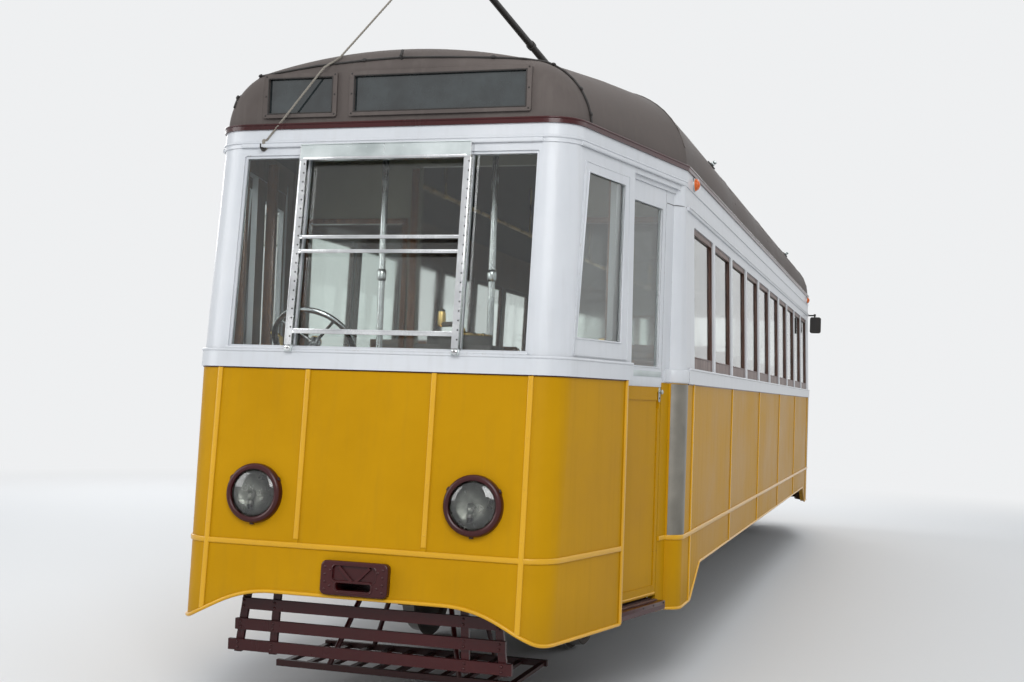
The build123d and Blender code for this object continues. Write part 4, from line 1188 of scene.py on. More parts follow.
def rounded_box(width, height, radius, steps=5):
    """Outline of a rectangle with round corners, about its middle."""
    points = []
    for cx, cy, start in ((1, 1, 0), (-1, 1, 90), (-1, -1, 180), (1, -1, 270)):
        for k in range(steps + 1):
            a = radians(start + 90 * k / steps)
            points.append((cx * (width / 2 - radius) + radius * cos(a),
                           cy * (height / 2 - radius) + radius * sin(a)))
    return points


print("workshop ready")

# %% [markdown]
# Trails along the body. Each one lists points of the outline with the outward direction
# at that point, so beads, bands and strips all share the same corners. The doorway post
# has its own short path: it turns a quarter round from the side into the recess.

# %% Trails along the body
SIDE_OUT = Vector((1, 0, SIDE_LEAN)).normalized()
END_OUT = Vector((0, 1, UPPER_LEAN)).normalized()
END_OUT_LOW = Vector((0, 1, LOWER_LEAN)).normalized()
RECESS = -0.056  # how far the door leaves lie behind the flank
SIDE_REACH = 4.19  # where strips on the side stop, just before its turn


def end_spot(x, z, n):
    """A point n in front of the end face, with the outward direction there."""
    return end_face(x, z, n), END_OUT if z > WAIST else END_OUT_LOW


def on_end(x, z, n):
    return frame_at(*end_spot(x, z, n))


def on_flank(s, n, z):
    return frame_at(flank(s, n, z), OUT)


def flank_line(n, z, *stops):
    """A level line on the flank at n and z, through each s in stops."""
    return [(flank(s, n, z), OUT) for s in stops]


def jamb_path(z, proud=0.0, last_s=0.205, count=9):
    """Round the doorway post of the +X +Y corner, from the side into the recess."""
    face = side_x(z)
    start = flank(0, RECESS)
    run = (4.298 - start.y) / ALONG.y
    foot = flank(run, RECESS)
    made = []
    for k in range(count):
        a = pi / 2 * k / (count - 1)
        across, deep = face - foot.x, 0.083
        out = Vector((cos(a) / across, sin(a) / deep, 0)).normalized()
        spot = Vector((foot.x + across * cos(a), 4.215 + deep * sin(a), z))
        made.append((spot + out * proud, out))
    if last_s > run:
        made.append((flank(last_s, RECESS + proud, z), OUT))
    return made


def mirrored(path, x, y):
    """The path's mirror image, run backwards so that it leads into the path."""
    flip = Matrix.Diagonal((x, y, 1))
    return [(flip @ Vector(p), flip @ Vector(o)) for p, o in reversed(path)]


def corner_trail(z, proud=0.0, count=9):
    """Round the body's corner, from the end face to the flank."""
    made = []
    for k, point in enumerate(reversed(corner_arc(z, proud, count))):
        a = pi / 2 - (pi / 2 - TAPER) * k / (count - 1)
        made.append((point, Vector((cos(a), sin(a), 0))))
    return made


def half_end_trail(z, proud, last_s):
    """From the middle of the end face, round the corner, to a point on the flank."""
    made = [end_spot(0, z, proud)]
    made += corner_trail(z, proud)
    lean = SIDE_LEAN * (z - WAIST) if z > WAIST else 0.0
    made.append((flank(last_s, proud - lean, z), OUT))
    return made


def whole_end_trail(z, proud, last_s):
    """The same on both sides, as one path across the end."""
    one = half_end_trail(z, proud, last_s)
    return mirrored(one[1:], -1, 1) + one


def side_trail(z, proud, reach=SIDE_REACH):
    return [((side_x(z, proud), y, z), SIDE_OUT) for y in (-reach, 0.0, reach)]


print("post path points", len(jamb_path(1.0)))

# %% [markdown]
# Yellow beads. The lower panels are divided by half-round beads: one level line right
# round the car and uprights where the sheets meet. The free lower edge is rolled into a
# hem that follows the arch of the end, the corner and the skirt.

# %% Beads and rolled hems
BEAD_Z = 0.761  # height of the level bead
BEAD_X = 1.193  # where the beads sit on the side panels
SHEETS_Y = [-4.0 + 1.6 * k for k in range(6)]  # where two side sheets meet
SHEETS_X = (0.744, 0.303)  # and two sheets of the end, on either side
post = jamb_path(BEAD_Z, 0.003)
side_beads = [mirrored(post, 1, -1) + [((BEAD_X, 0, BEAD_Z), (1, 0, 0))] + post]
for y in SHEETS_Y:
    low = 0.405 if abs(y) > 3.9 else 0.572  # the skirt hangs lower at both ends
    side_beads.append([((BEAD_X, y, z), (1, 0, 0)) for z in (low, 1.545)])
# Beads and hems use the lighter yellow, whose extra brightness is a painted highlight.
grow("beads_sides", bar_tree, bead_yellow_painted_highlight, side_beads, SIDES, Width=0.0245, Depth=0.0095,
     Round=0.0044)
end_beads = [whole_end_trail(BEAD_Z, 0.003, 0.766)]
for x, low in zip(SHEETS_X, (0.455, 0.79)):
    for side in (x, -x):
        end_beads.append([end_spot(side, z, 0.003) for z in (low, 1.545)])
grow("beads_ends", bar_tree, bead_yellow_painted_highlight, end_beads, ENDS, Width=0.0245, Depth=0.0095, Round=0.0044)
edge_beads = [[(flank(0.756, 0.004, 0.412), OUT), (flank(0.756, 0.004, 1.546), OUT)]]
grow("beads_door_edges", bar_tree, bead_yellow_painted_highlight, edge_beads, CORNERS, Width=0.0250, Depth=0.0115,
     Round=0.0052)

arch_line = softened([(0, 0.552), (0.54, 0.552), (0.83, 0.408)], 0.6, 14)
arch_line = arch_line[:-1] + softened([arch_line[-2], (0.83, 0.408), (1.1, 0.408)], 0.13, 6)[1:]


def arch_z(x):
    """Height of the arched lower edge of the end panel at x."""
    for (x0, z0), (x1, z1) in zip(arch_line, arch_line[1:]):
        if x0 <= x <= x1:
            return z0 + (z1 - z0) * (x - x0) / max(x1 - x0, 1e-9)
    return arch_line[-1][1]


half_hem = [end_spot(x, arch_z(x), 0.001) for x in [0.0] + [
    0.20 + 0.02 * k for k in range(26)]]
for k in range(13):
    z = 0.44
    for _ in range(4):
        point, out = corner_trail(z, 0.001, 13)[k]
        z = arch_z(point.x)
    half_hem.append((Vector((point.x, point.y, z)), out))
half_hem.append((flank(0.757, 0.001, 0.408), OUT))
end_hem = mirrored(half_hem[1:], -1, 1) + half_hem
grow("hems_ends", bead_tree, bead_yellow_painted_highlight, [end_hem], ENDS, Half_Width=0.0085, Rise=0.0085)
skirt = softened([(4.21, 0.401), (3.96, 0.401), (3.64, 0.571), (0, 0.571)], 0.055, 8)
half_skirt = jamb_path(0.401)[::-1] + [((1.190, y, z), (1, 0, 0)) for y, z in skirt[1:]]
side_hem = half_skirt + mirrored(half_skirt[:-1], 1, -1)
grow("hems_sides", bead_tree, bead_yellow_painted_highlight, [side_hem], SIDES, Half_Width=0.008, Rise=0.008)

side_pins, end_pins = [], []
for y in SHEETS_Y:
    low = 0.46 if abs(y) > 3.9 else 0.62
    side_pins += [((BEAD_X + 0.0045, y, low + (1.50 - low) * n / 4), (1, 0, 0)) for n in range(5)]
for x in SHEETS_X:
    for side in (x, -x):
        end_pins += [end_spot(side, 0.84 + 0.22 * n, 0.0075) for n in range(4)]
studs("bead_pins", bead_yellow_painted_highlight, side_pins, 0.0045, 0.0022, SIDES)
studs("bead_pins_ends", bead_yellow_painted_highlight, end_pins, 0.0045, 0.0022, ENDS)
print("grown", grown)

# %% [markdown]
# White bodywork trim: the nosing on the sill band, the thin dark strip under it, which is a
# joint and also a painted shadow line under the band's overhang, the strip on the frieze that
# is cut square beside the corners, the drip rail above the saloon windows, and the doorway
# post's own band and joint.

# %% White trim
NOSING_Z, JOINT_AND_SHADOW_Z, LIP_Z = 1.627, 1.5475, 2.6885  # on the sill band, under it, on the cornice
nosings = [side_trail(NOSING_Z, 0.0115)]
end_nosings = [whole_end_trail(NOSING_Z, 0.0115, 0.705)]
grow("sill_nosing_sides", bead_tree, white, nosings, SIDES, Half_Width=0.0065, Rise=0.0055)
grow("sill_nosing_ends", bead_tree, white, end_nosings, ENDS, Half_Width=0.0065, Rise=0.0055)
# The thin maroon strip under the sill band is a dark joint, and also a painted shadow line where
# the band overhangs the yellow.
grow("waist_joint_sides", bar_tree, maroon, [side_trail(JOINT_AND_SHADOW_Z, 0.0015)], SIDES, Width=0.006,
     Depth=0.006, Round=0.0015)
grow("waist_joint_ends", bar_tree, maroon, [whole_end_trail(JOINT_AND_SHADOW_Z, 0.0015, 0.766)], ENDS,
     Width=0.006, Depth=0.006, Round=0.0015)
strip_end = [[end_spot(x, 2.588, 0.008) for x in (-0.735, 0.0, 0.735)]]
grow("frieze_strip_ends", bar_tree, white, strip_end, ENDS, Width=0.020, Depth=0.012, Round=0.004)
top_bead = [whole_end_trail(2.604, 0.006, 0.02)]
grow("frieze_bead_ends", bead_tree, white, top_bead, ENDS, Half_Width=0.006, Rise=0.006)
grow("drip_rails", bar_tree, white, [side_trail(2.468, 0.005)], SIDES, Width=0.018,
     Depth=0.014, Round=0.005)
grow("drip_lips", bead_tree, white, [side_trail(2.477, 0.013)], SIDES, Half_Width=0.004,
     Rise=0.004)
flank_strip = [flank_line(0.008 - SIDE_LEAN * (2.588 - WAIST), 2.588, 0.04, 0.6, 1.24)]
grow("frieze_strip_flanks", bar_tree, white, flank_strip, CORNERS, Width=0.020, Depth=0.012,
     Round=0.004)
post_band = [jamb_path(1.5865, 0.0045, 0.190)]
grow("post_bands", bar_tree, white, post_band, CORNERS, Width=0.068, Depth=0.013, Round=0.004)
post_joint = [jamb_path(2.469, 0.0005, 0.205)]
grow("post_joints", bar_tree, iron, post_joint, CORNERS, Width=0.003, Depth=0.003, Round=0.0006)
cornice_lip = [side_trail(LIP_Z, 0.0125, TURN_Y)]
grow("cornice_lip_sides", bead_tree, maroon, cornice_lip, SIDES, Half_Width=0.005, Rise=0.0045)
grow("cornice_lip_ends", bead_tree, maroon, [whole_end_trail(LIP_Z, 0.0125, 0.0)], ENDS,
     Half_Width=0.005, Rise=0.0045)
print("white trim grown", len(grown))

# %% [markdown]
# The middle window stands between bright guides. A row of small screws runs down each
# guide, the header plate has a seam and a bright lower strip, and each guide ends in a
# foot with a turn catch.

# %% Windscreen guides
screws = [end_spot(x, 1.690 + 0.042 * n, 0.0382) for x in (-0.392, 0.4085) for n in range(20)]
studs("guide_screws", iron, screws, 0.0042, 0.0016, DRIVER)
header_screws = [end_spot(-0.36 + 0.09 * n, z, 0.0422) for n in range(9) for z in (2.530, 2.562)]
studs("header_screws", galvanised, header_screws, 0.005, 0.002, ENDS, sides=12)
guide = Maker(galvanised, bright, iron)
for x0, x1 in ((-0.413, -0.0015), (0.0015, 0.413)):
    frame_here = on_end((x0 + x1) / 2, 2.545, 0.0425)
    guide.block(frame_here, (x1 - x0, 0.064, 0.002), 0, 0.0006, 1)
guide.block(on_end(0, 2.5135, 0.0435), (0.79, 0.010, 0.006), 1, 0.0015)
guide.block(on_end(0, 2.5775, 0.0425), (0.826, 0.004, 0.010), 0, 0.001)
for x in (-0.4, 0.4):
    guide.block(on_end(x, 1.634, 0.028), (0.036, 0.026, 0.008), 0, 0.002)
    knob = on_end(x, 1.636, 0.030)
    guide.turned(knob, [(0, 0), (0.013, 0), (0.014, 0.003), (0.012, 0.009), (0.007, 0.011),
                        (0, 0.0115)], 1, 20)
    guide.block(knob @ at(0, 0, 0.0125), (0.024, 0.004, 0.004), 2, 0.001)
    edge = x + (0.014 if x > 0 else -0.014)
    guide.block(on_end(edge, 2.10, 0.0395), (0.004, 0.90, 0.004), 1, 0.001)
for z in (2.086, 2.152):
    guide.block(on_end(0, z, 0.0295), (0.776, 0.006, 0.004), 1, 0.001)
guide.block(on_end(0, 1.7235, 0.0305), (0.776, 0.006, 0.006), 1, 0.0015)
guide.done("guide_fittings", CAR, ENDS)
ledge = Maker(white)
ledge.block(on_end(0, 1.6385, 0.004), (1.45, 0.008, 0.030), 0, 0.002)
ledge.block(on_end(0, 1.6350, 0.012), (1.452, 0.012, 0.010), 0, 0.003)
ledge.done("screen_ledge", CAR, ENDS)
print("windscreen fitted", grown[-4:])

# %% [markdown]
# Headlamps. Behind a domed glass lies a shallow dish, and in it a clear bulb stands on a
# dark socket near the bottom, as the photograph shows on both lamps. The dish and the
# domed glass stand in for the plain discs of the solids.

# %% Headlamps
collar_metal = metal("lamp_collar", (0.72, 0.71, 0.67), (0.54, 0.53, 0.50), "x", 0.30, 0.48)
socket_dark = paint("lamp_socket", (0.030, 0.022, 0.016), (0.018, 0.014, 0.010),
                     (0.04, 0.03, 0.025), (0.03, 0.024, 0.018), rough=0.4, coat=0.2, peel=0.2)
# The dish's dark tone is painted shade inside the lamp.
dish = Maker(dish_metal_painted_shade, socket_dark, collar_metal)
dome = Maker(lens_glass)
rims = Maker(maroon, iron)
for x in (-0.52, 0.52):
    seat = on_end(x, 0.980, 0.0)
    dish.turned(seat, [(0.1075, 0.0185), (0.098, 0.0125), (0.084, 0.0080), (0.066, 0.0048),
                       (0.044, 0.0026), (0.020, 0.0016), (0, 0.0014)], 0, 48)
    stem = seat @ at(0.006, -0.070, 0.0186) @ Matrix.Rotation(-pi / 2, 4, "X")
    dish.turned(stem, [(0, 0), (0.0128, 0), (0.0132, 0.018), (0.0118, 0.020), (0, 0.020)], 1, 24)
    dish.turned(stem, [(0.0110, 0.020), (0.0125, 0.0225), (0.0128, 0.034), (0.0105, 0.036),
                       (0, 0.036)], 2, 24)
    bulb = stem @ at(0, 0, 0.036)
    dome.turned(bulb, [(0.0100, 0.0), (0.0120, 0.008), (0.0156, 0.020), (0.0163, 0.030),
                       (0.0140, 0.040), (0.0080, 0.0465), (0, 0.0485)], 0, 24)
    wires = []
    for n in range(7):
        wires.append(bulb @ Vector((-0.009 + 0.003 * n, 0.0, 0.026 + 0.004 * (n % 2))))
    dish.bar([bulb @ Vector((-0.008, 0, 0.0)), *wires, bulb @ Vector((0.008, 0, 0.0))], 0.0008,
             2, 5)
    dome.turned(seat, [(0.1078, 0.0200), (0.098, 0.0262), (0.080, 0.0322), (0.056, 0.0370),
                       (0.030, 0.0396), (0, 0.0406), (0, 0.0386), (0.030, 0.0376),
                       (0.056, 0.0350), (0.080, 0.0302), (0.098, 0.0242), (0.1078, 0.0185),
                       (0.1078, 0.0200)], 0, 56)
    rims.turned(seat, [(0.1070, 0.018), (0.1065, 0.024), (0.1085, 0.031), (0.114, 0.0345),
                       (0.121, 0.0352), (0.128, 0.0315), (0.1325, 0.024), (0.1335, 0.012),
                       (0.1345, 0.003), (0.1345, 0.0)], 0, 56)
    for n in range(3):
        a = radians(30 + 120 * n)
        lug = seat @ Matrix.Rotation(a, 4, "Z") @ at(0.1345, 0, 0.010)
        rims.block(lug, (0.012, 0.020, 0.014), 0, 0.003)
        rims.turned(lug @ at(0.001, 0, 0.007),
                    [(0, 0), (0.0045, 0), (0.0045, 0.0025), (0.003, 0.004), (0, 0.0042)], 1, 12)
dish_thing = dish.done("headlamp_dishes", CAR, ENDS)
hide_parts("headlamp_bowls")
dome_thing = dome.done("headlamp_domes", CAR, ENDS)
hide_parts("headlamp_glass")
rims.done("headlamp_bezels", CAR, ENDS)
print("headlamps", grown[-3:])

# %% [markdown]
# The coupling casting is fixed by dome rivets down both wings. A rounded lip runs round
# its slot and a thinner one round the cup above it.

# %% Coupling casting
rivets = []
for reach, heights in ((0.136, (0.585, 0.617, 0.649, 0.681)), (0.112, (0.600, 0.668))):
    rivets += [end_spot(x, z, 0.0335) for x in (-reach, reach) for z in heights]
studs("coupling_rivets", maroon, rivets, 0.0065, 0.004, ENDS, sides=14, rings=8)
lips = Maker(maroon)
slot_line = rounded_box(0.176, 0.048, 0.020, 6)
seat = on_end(0, 0.598, 0.033)
lips.bar([seat @ Vector((x, y, 0)) for x, y in slot_line + slot_line[:2]], 0.0045, 0, 10)
cup_line = rounded_box(0.208, 0.074, 0.020, 6)
seat = on_end(0, 0.655, 0.0335)
lips.bar([seat @ Vector((x, y, 0)) for x, y in cup_line + cup_line[:2]], 0.003, 0, 8)
lips.done("coupling_lips", CAR, ENDS)
print("coupling", grown[-2:])

# %% [markdown]
# The roof is covered with painted canvas. Low seams cross it, and a black lead runs along
# the top edge of the near end and down beside the corner. Rays cast onto the roof's solid
# give the height of each point, so that seam and lead lie on the real surface.

# %% Roof covering
def skin_of(node):
    mesh = frame["nodes"][node].data
    return BVHTree.FromPolygons(
        [v.co for v in mesh.vertices], [tuple(p.vertices) for p in mesh.polygons]
    )


roof_skin = skin_of("roof")


def cast(origin, way):
    place, out, _, _ = roof_skin.ray_cast(Vector(origin), Vector(way))
    if place is not None and out.dot(Vector(way)) > 0:
        out = -out
    return place, out


seams = []
for y in (-4.2, -2.1, 0.0, 2.1, 4.2):
    path = []
    for k in range(61):
        x = -1.14 + 2.28 * k / 60
        place, out = cast((x, y + 0.001, 5), (0, 0, -1))
        if place is not None and place.z > 2.70:
            path.append((place + out * 0.0005, out))
    seams.append(path)
grow("roof_seams", bar_tree, canvas, seams, Width=0.026, Depth=0.004, Round=0.0012)

LEAD = [(-0.826, 2.790), (-0.823, 2.844), (-0.817, 2.897), (-0.793, 2.924), (-0.709, 2.942),
        (-0.626, 2.945), (-0.396, 2.970), (-0.154, 2.986), (0.035, 2.993), (0.237, 2.987),
        (0.466, 2.979), (0.600, 2.974), (0.689, 2.969)]
SIDE_LEAD = [2.955, 2.925, 2.890, 2.846, 2.800, 2.773, 2.735, 2.700]
lead = []
for x, z in LEAD:
    place, out = cast((x, 7, z), (0, -1, 0))
    if place is not None:
        lead.append((place + out * 0.005, out))
for k, z in enumerate(SIDE_LEAD):
    place, out = cast((3, 5.34 - 0.005 * k, z), (-1, 0, 0))
    if place is not None:
        lead.append((place + out * 0.005, out))
lead.append((Vector((lead[-1][0].x, lead[-1][0].y, 2.678)), lead[-1][1]))
grow("roof_leads", bead_tree, iron, [lead], DRIVER, Half_Width=0.0055, Rise=0.0055, Sides=8)
clips = [(p + o * 0.004, o) for p, o in lead[1:-1:3]]
studs("lead_clips", iron, clips, 0.011, 0.006, DRIVER)
cleats = Maker(iron, galvanised)
place, out = cast((0.03, 7, 2.985), (0, -1, 0))
cleats.bar([place - out * 0.01, place + out * 0.012 + Vector((0, 0, 0.012)),
            place + Vector((0, -0.01, 0.045))], 0.007, 0, 8)
cleats.done("lead_stubs", CAR, DRIVER)
edge_cleats = Maker(iron, galvanised)
for y in (-2.73, 2.382, 4.668):
    place, out = cast((1.06 if abs(y) < 4 else 0.95, y, 5), (0, 0, -1))
    seat = frame_at(place, out, (0, 1, 0))
    edge_cleats.block(seat @ at(0, 0, 0.004), (0.05, 0.09, 0.008), 0, 0.003)
    edge_cleats.turned(seat @ at(0, 0, 0.008),
                       [(0, 0), (0.014, 0), (0.016, 0.006), (0.010, 0.014), (0.014, 0.022),
                        (0.012, 0.030), (0, 0.032)], 1, 16)
edge_cleats.done("roof_cleats", CAR, SIDES)
print("roof covering", grown[-5:])

# %% [markdown]
# Trolley pole. A grooved wheel turns in a harp at the tip. Coil springs on the base pull
# the pole up, and a thin rope of three strands comes down to a hook on the end wall.

# %% Trolley gear
TIP = Vector((0, -4.930, 3.745))
HINGE = Vector((0, -0.180, 3.425))
POLE_WAY = (TIP - HINGE).normalized()
across = Matrix.Rotation(pi / 2, 4, "Y")
head = Maker(iron, copper, brass)
hub = at(0, -4.970, 3.785) @ across
head.turned(hub, [(0.050, -0.0172), (0.0600, -0.0175), (0.0635, -0.0150), (0.0635, -0.0110),
                  (0.0585, -0.0050), (0.0585, 0.0050), (0.0635, 0.0110), (0.0635, 0.0150),
                  (0.0600, 0.0175), (0.050, 0.0172)], 1, 40)
for side in (-1, 1):
    cheek = at(side * 0.0245, -4.930, 3.757) @ across
    line = softened([(-0.032, 0.030), (-0.030, -0.088), (0.024, -0.088), (0.028, 0.030),
                     (-0.012, 0.075), (-0.032, 0.030)], 0.012, 4)[:-1]
    head.plate(cheek @ at(0, 0, -0.0025), line, 0.005, 0, 0.001)
    axle = at(side * 0.0265, -4.970, 3.785) @ across
    if side < 0:
        axle = axle @ Matrix.Rotation(pi, 4, "X")
    head.turned(axle, [(0, 0), (0.017, 0), (0.017, 0.004), (0.011, 0.005), (0.011, 0.012),
                       (0.006, 0.014), (0, 0.014)], 2, 16)
for t in (0.02, 0.30, 0.62, 0.93):
    collar = frame_at(HINGE + POLE_WAY * (4.76 * t + 0.12), POLE_WAY, (0, 0, 1))
    r = 0.030 - 0.013 * t
    head.turned(collar, [(r, -0.022), (r + 0.006, -0.020), (r + 0.006, 0.020), (r, 0.022)], 0, 20)
head.done("trolley_head", "trolley_pole")

rope_top = TIP + Vector((-0.012, 0.05, -0.030))
rope_low = Vector((-0.625, -5.500, 2.600))
board_top = Vector((-0.345, -5.489, 2.945))
over = Vector((-0.292, -5.425, 3.010))
raw = softened([rope_low, board_top, over, rope_top], 0.045, 8)
line = [Vector(raw[0]).lerp(Vector(raw[1]), k / 8) for k in range(8)]
line += [Vector(p) for p in raw[1:-1]]
line += [Vector(raw[-2]).lerp(Vector(raw[-1]), k / 16) for k in range(1, 17)]
for k, p in enumerate(line):
    place, out = cast((p.x, -7, p.z), (0, 1, 0))
    if place is not None and p.z > 2.70 and p.y > place.y - 0.009:
        line[k] = Vector((p.x, place.y - 0.009, p.z))
    if 2.70 < p.z < 2.955:
        line[k].y = min(line[k].y, -5.487)
lengths = [0.0]
for a, b in zip(line, line[1:]):
    lengths.append(lengths[-1] + (b - a).length)
whole = lengths[-1]
rope = Maker(hemp)
lay = (rope_top - rope_low).normalized()
side = lay.orthogonal().normalized()
other = lay.cross(side)
steps, lay_length = 270, 0.050
for strand in range(3):
    path = []
    for k in range(steps + 1):
        far = whole * k / steps
        n = max(j for j in range(len(lengths) - 1) if lengths[j] <= far + 1e-9)
        t = (far - lengths[n]) / (lengths[n + 1] - lengths[n])
        a = 2 * pi * (far / lay_length + strand / 3)
        path.append(line[n].lerp(line[n + 1], t) + 0.0026 * (side * cos(a) + other * sin(a)))
    rope.bar(path, 0.0028, 0, 5)
eye = [rope_low + Vector((0.0, 0.0, -0.016)) + 0.016 * Vector((cos(a), 0, sin(a)))
       for a in [2 * pi * k / 16 for k in range(18)]]
rope.bar(eye, 0.0042, 0, 6)
rope.turned(frame_at(rope_low + Vector((0, 0, 0.004)), Vector((0, 0, 1)), (0, 1, 0)),
            [(0, -0.018), (0.009, -0.014), (0.0105, 0), (0.009, 0.014), (0, 0.018)], 0, 12)
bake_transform(rope.done("pole_rope", None, ONE, 60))
hook = Maker(iron)
seat = on_end(rope_low.x, 2.575, 0.006)
hook.turned(seat, [(0, 0), (0.014, 0), (0.014, 0.003), (0.006, 0.005), (0, 0.005)], 0, 16)
hook.bar([seat @ Vector(p) for p in ((0, 0, 0), (0, 0, 0.018), (0, -0.006, 0.026),
                                     (0, 0.0, 0.034), (0, 0.014, 0.034))], 0.0035, 0, 8)
hook.done("rope_hooks", CAR, DRIVER)

springs = [[((x, 0.225, 3.343), (0, -1, 0))] for x in (-0.045, 0.045)]
grow("trolley_springs", coil_tree, galvanised, springs, body="trolley_swivel", Radius=0.0265,
     Wire=0.0042, Length=0.27, Turns=24.0)
base_bolts = [((0.145 * cos(a), 0.145 * sin(a), 3.3145), (0, 0, 1))
              for a in [2 * pi * (k + 0.5) / 8 for k in range(8)]]
studs("trolley_base_bolts", iron, base_bolts, 0.011, 0.008, body="trolley_swivel", sides=6, rings=4)
walk_screws = [((0.09 * (n - 3.5), -3.2 + 0.8 * k, 3.2702), (0, 0, 1))
               for k in range(9) for n in range(8)]
studs("walk_screws", galvanised, walk_screws, 0.008, 0.0015, rings=4)
plate_bolts = [((x, y, 3.2842), (0, 0, 1)) for x in (-0.26, 0.26) for y in (-0.29, 0.0, 0.29)]
studs("base_plate_bolts", iron, plate_bolts, 0.012, 0.010, sides=6, rings=4)
print("trolley gear", grown[-8:])

# %% [markdown]
# Doors. Each sliding leaf has a moulding round its glass, a white band across the middle
# with a metal strip above it, a small lock plate, a rolled bead at its foot and a rubber
# strip on its leading edge. The mouldings stay flat, because the leaf slides behind the
# side wall.

# %% Door leaves


def ring_trail(corners, out):
    """A closed path through corner points, each with the same outward direction."""
    return ["closed"] + [(Vector(p), out) for p in corners]


def leaf_ring(s0, s1, z0, z1, n):
    return ring_trail([flank(s0, n, z0), flank(s1, n, z0), flank(s1, n, z1), flank(s0, n, z1)],
                      OUT)


for name, copies in DOORS.items():
    grow(name + "_glass_bead", bead_tree, white, [leaf_ring(0.252, 0.663, 1.624, 2.435, RECESS)],
         copies, body=name, Half_Width=0.006, Rise=0.0028, Sides=10)
    foot = [flank_line(RECESS, 0.490, 0.224, 0.81)]
    grow(name + "_panel_bead", bead_tree, bead_yellow_painted_highlight, foot, copies, body=name, Half_Width=0.006,
         Rise=0.0030, Sides=10)
    band = [flank_line(-0.0555, 1.548, 0.222, 0.81)]
    grow(name + "_band", bar_tree, white, band, copies, body=name, Width=0.044, Depth=0.005,
         Round=0.0018)
    slot = [flank_line(-0.0562, 1.590, 0.224, 0.600)]
    grow(name + "_slot", bar_tree, galvanised, slot, copies, body=name, Width=0.028, Depth=0.0024,
         Round=0.001)
    fit = Maker(galvanised, iron)
    plate_line = rounded_box(0.022, 0.075, 0.008, 3)
    seat = on_flank(0.234, RECESS, 1.488)
    fit.plate(seat, plate_line, 0.0022, 0, 0.0006)
    fit.turned(seat @ at(0, 0.014, 0.002),
               [(0, 0), (0.0075, 0), (0.0075, 0.008), (0.011, 0.012), (0.011, 0.016),
                (0, 0.019)], 0, 18)
    fit.turned(seat @ at(0, -0.018, 0.0022),
               [(0, 0), (0.0055, 0), (0.0045, 0.0012), (0, 0.0012)], 1, 14)
    fit.block(on_flank(0.2195, -0.0695, 1.505), (0.007, 2.04, 0.024), 1, 0.002)
    fit.done(name + "_fittings", name, copies)
print("door trim", grown[-4:])

# %% [markdown]
# Frames round the other panes. The quarter window's sash has its own bead, the two sign
# boxes have a thin inner trim with corner screws, and the saloon panes sit behind slim
# dark beads in their wooden sashes.

# %% Window beads and sign trims
lean_flank = Vector((OUT.x, OUT.y, SIDE_LEAN)).normalized()


def flank_leaning(s, up, n):
    """A point on the leaning upper flank: s along, up from the waist along the lean."""
    k = 1 / sqrt(1 + SIDE_LEAN**2)
    base = Vector((HALF_WIDTH, TURN_Y, WAIST)) + ALONG * s
    return base + Vector((-OUT.x * SIDE_LEAN * k, -OUT.y * SIDE_LEAN * k, k)) * up + lean_flank * n


quarter = [(0.832, 0.170), (1.288, 0.170), (1.162, 0.925), (0.775, 0.925)]
quarter_bead = ring_trail([flank_leaning(s, up, 0.0042) for s, up in quarter], lean_flank)
grow("quarter_glass_beads", bead_tree, white, [quarter_bead], CORNERS, Half_Width=0.006, Rise=0.005,
     Sides=10)
quarter_edge = [(0.760, 0.095), (1.305, 0.095), (1.187, 0.967), (0.728, 0.967)]
quarter_line = ring_trail([flank_leaning(s, up, 0.0045) for s, up in quarter_edge], lean_flank)
grow("quarter_sash_lines", bead_tree, white, [quarter_line], CORNERS, Half_Width=0.0035,
     Rise=0.0025, Sides=8)
SIGN_Y = 5.4735  # front of the sign boxes' glass
sign_paths, sign_studs = [], []
for x0, x1, z0, z1 in ((-0.627, -0.300, 2.745, 2.912), (-0.190, 0.640, 2.745, 2.912)):
    sign_paths.append(ring_trail([(x0, SIGN_Y, z0), (x1, SIGN_Y, z0), (x1, SIGN_Y, z1),
                                  (x0, SIGN_Y, z1)], Vector((0, 1, 0))))
    for x in (x0 - 0.012, x1 + 0.012):
        for z in (z0 - 0.008, (z0 + z1) / 2, z1 + 0.010):
            sign_studs.append(((x, 5.4742, z), (0, 1, 0)))
grow("sign_trims", bead_tree, iron, sign_paths, DRIVER, Half_Width=0.0042, Rise=0.0032, Sides=10)
studs("sign_screws", iron, sign_studs, 0.0045, 0.0018, DRIVER, rings=4)
side_up = Vector((-SIDE_LEAN, 0, 1)).normalized()


def side_leaning(y, up, n):
    return Vector((HALF_WIDTH, y, WAIST)) + side_up * up + SIDE_OUT * n


pane_rings, reveals = [], []
for k in range(10):
    y = (k - 4.5) * 0.8
    low, high = 1.620 - WAIST + 0.078, 2.400 - WAIST - 0.030
    ring_points = [side_leaning(y - 0.328, low, -0.0100), side_leaning(y + 0.328, low, -0.0100),
                   side_leaning(y + 0.328, high, -0.0100), side_leaning(y - 0.328, high, -0.0100)]
    pane_rings.append(ring_trail(ring_points, SIDE_OUT))
    reveals.append([(side_leaning(y + t, 0.0745, -0.0015), SIDE_OUT) for t in (-0.354, 0.354)])
grow("pane_beads", bead_tree, sash_wood, pane_rings, SIDES, Half_Width=0.006, Rise=0.004, Sides=8)
grow("window_sill_drips", bead_tree, white, reveals, SIDES, Half_Width=0.005, Rise=0.0035, Sides=8)
print("window beads", grown[-6:])

# %% [markdown]
# Corner lamps and mirrors. Each marker lamp becomes a ribbed amber dome on a metal base.
# The mirror gets its silvered face on the side that the driver sees.

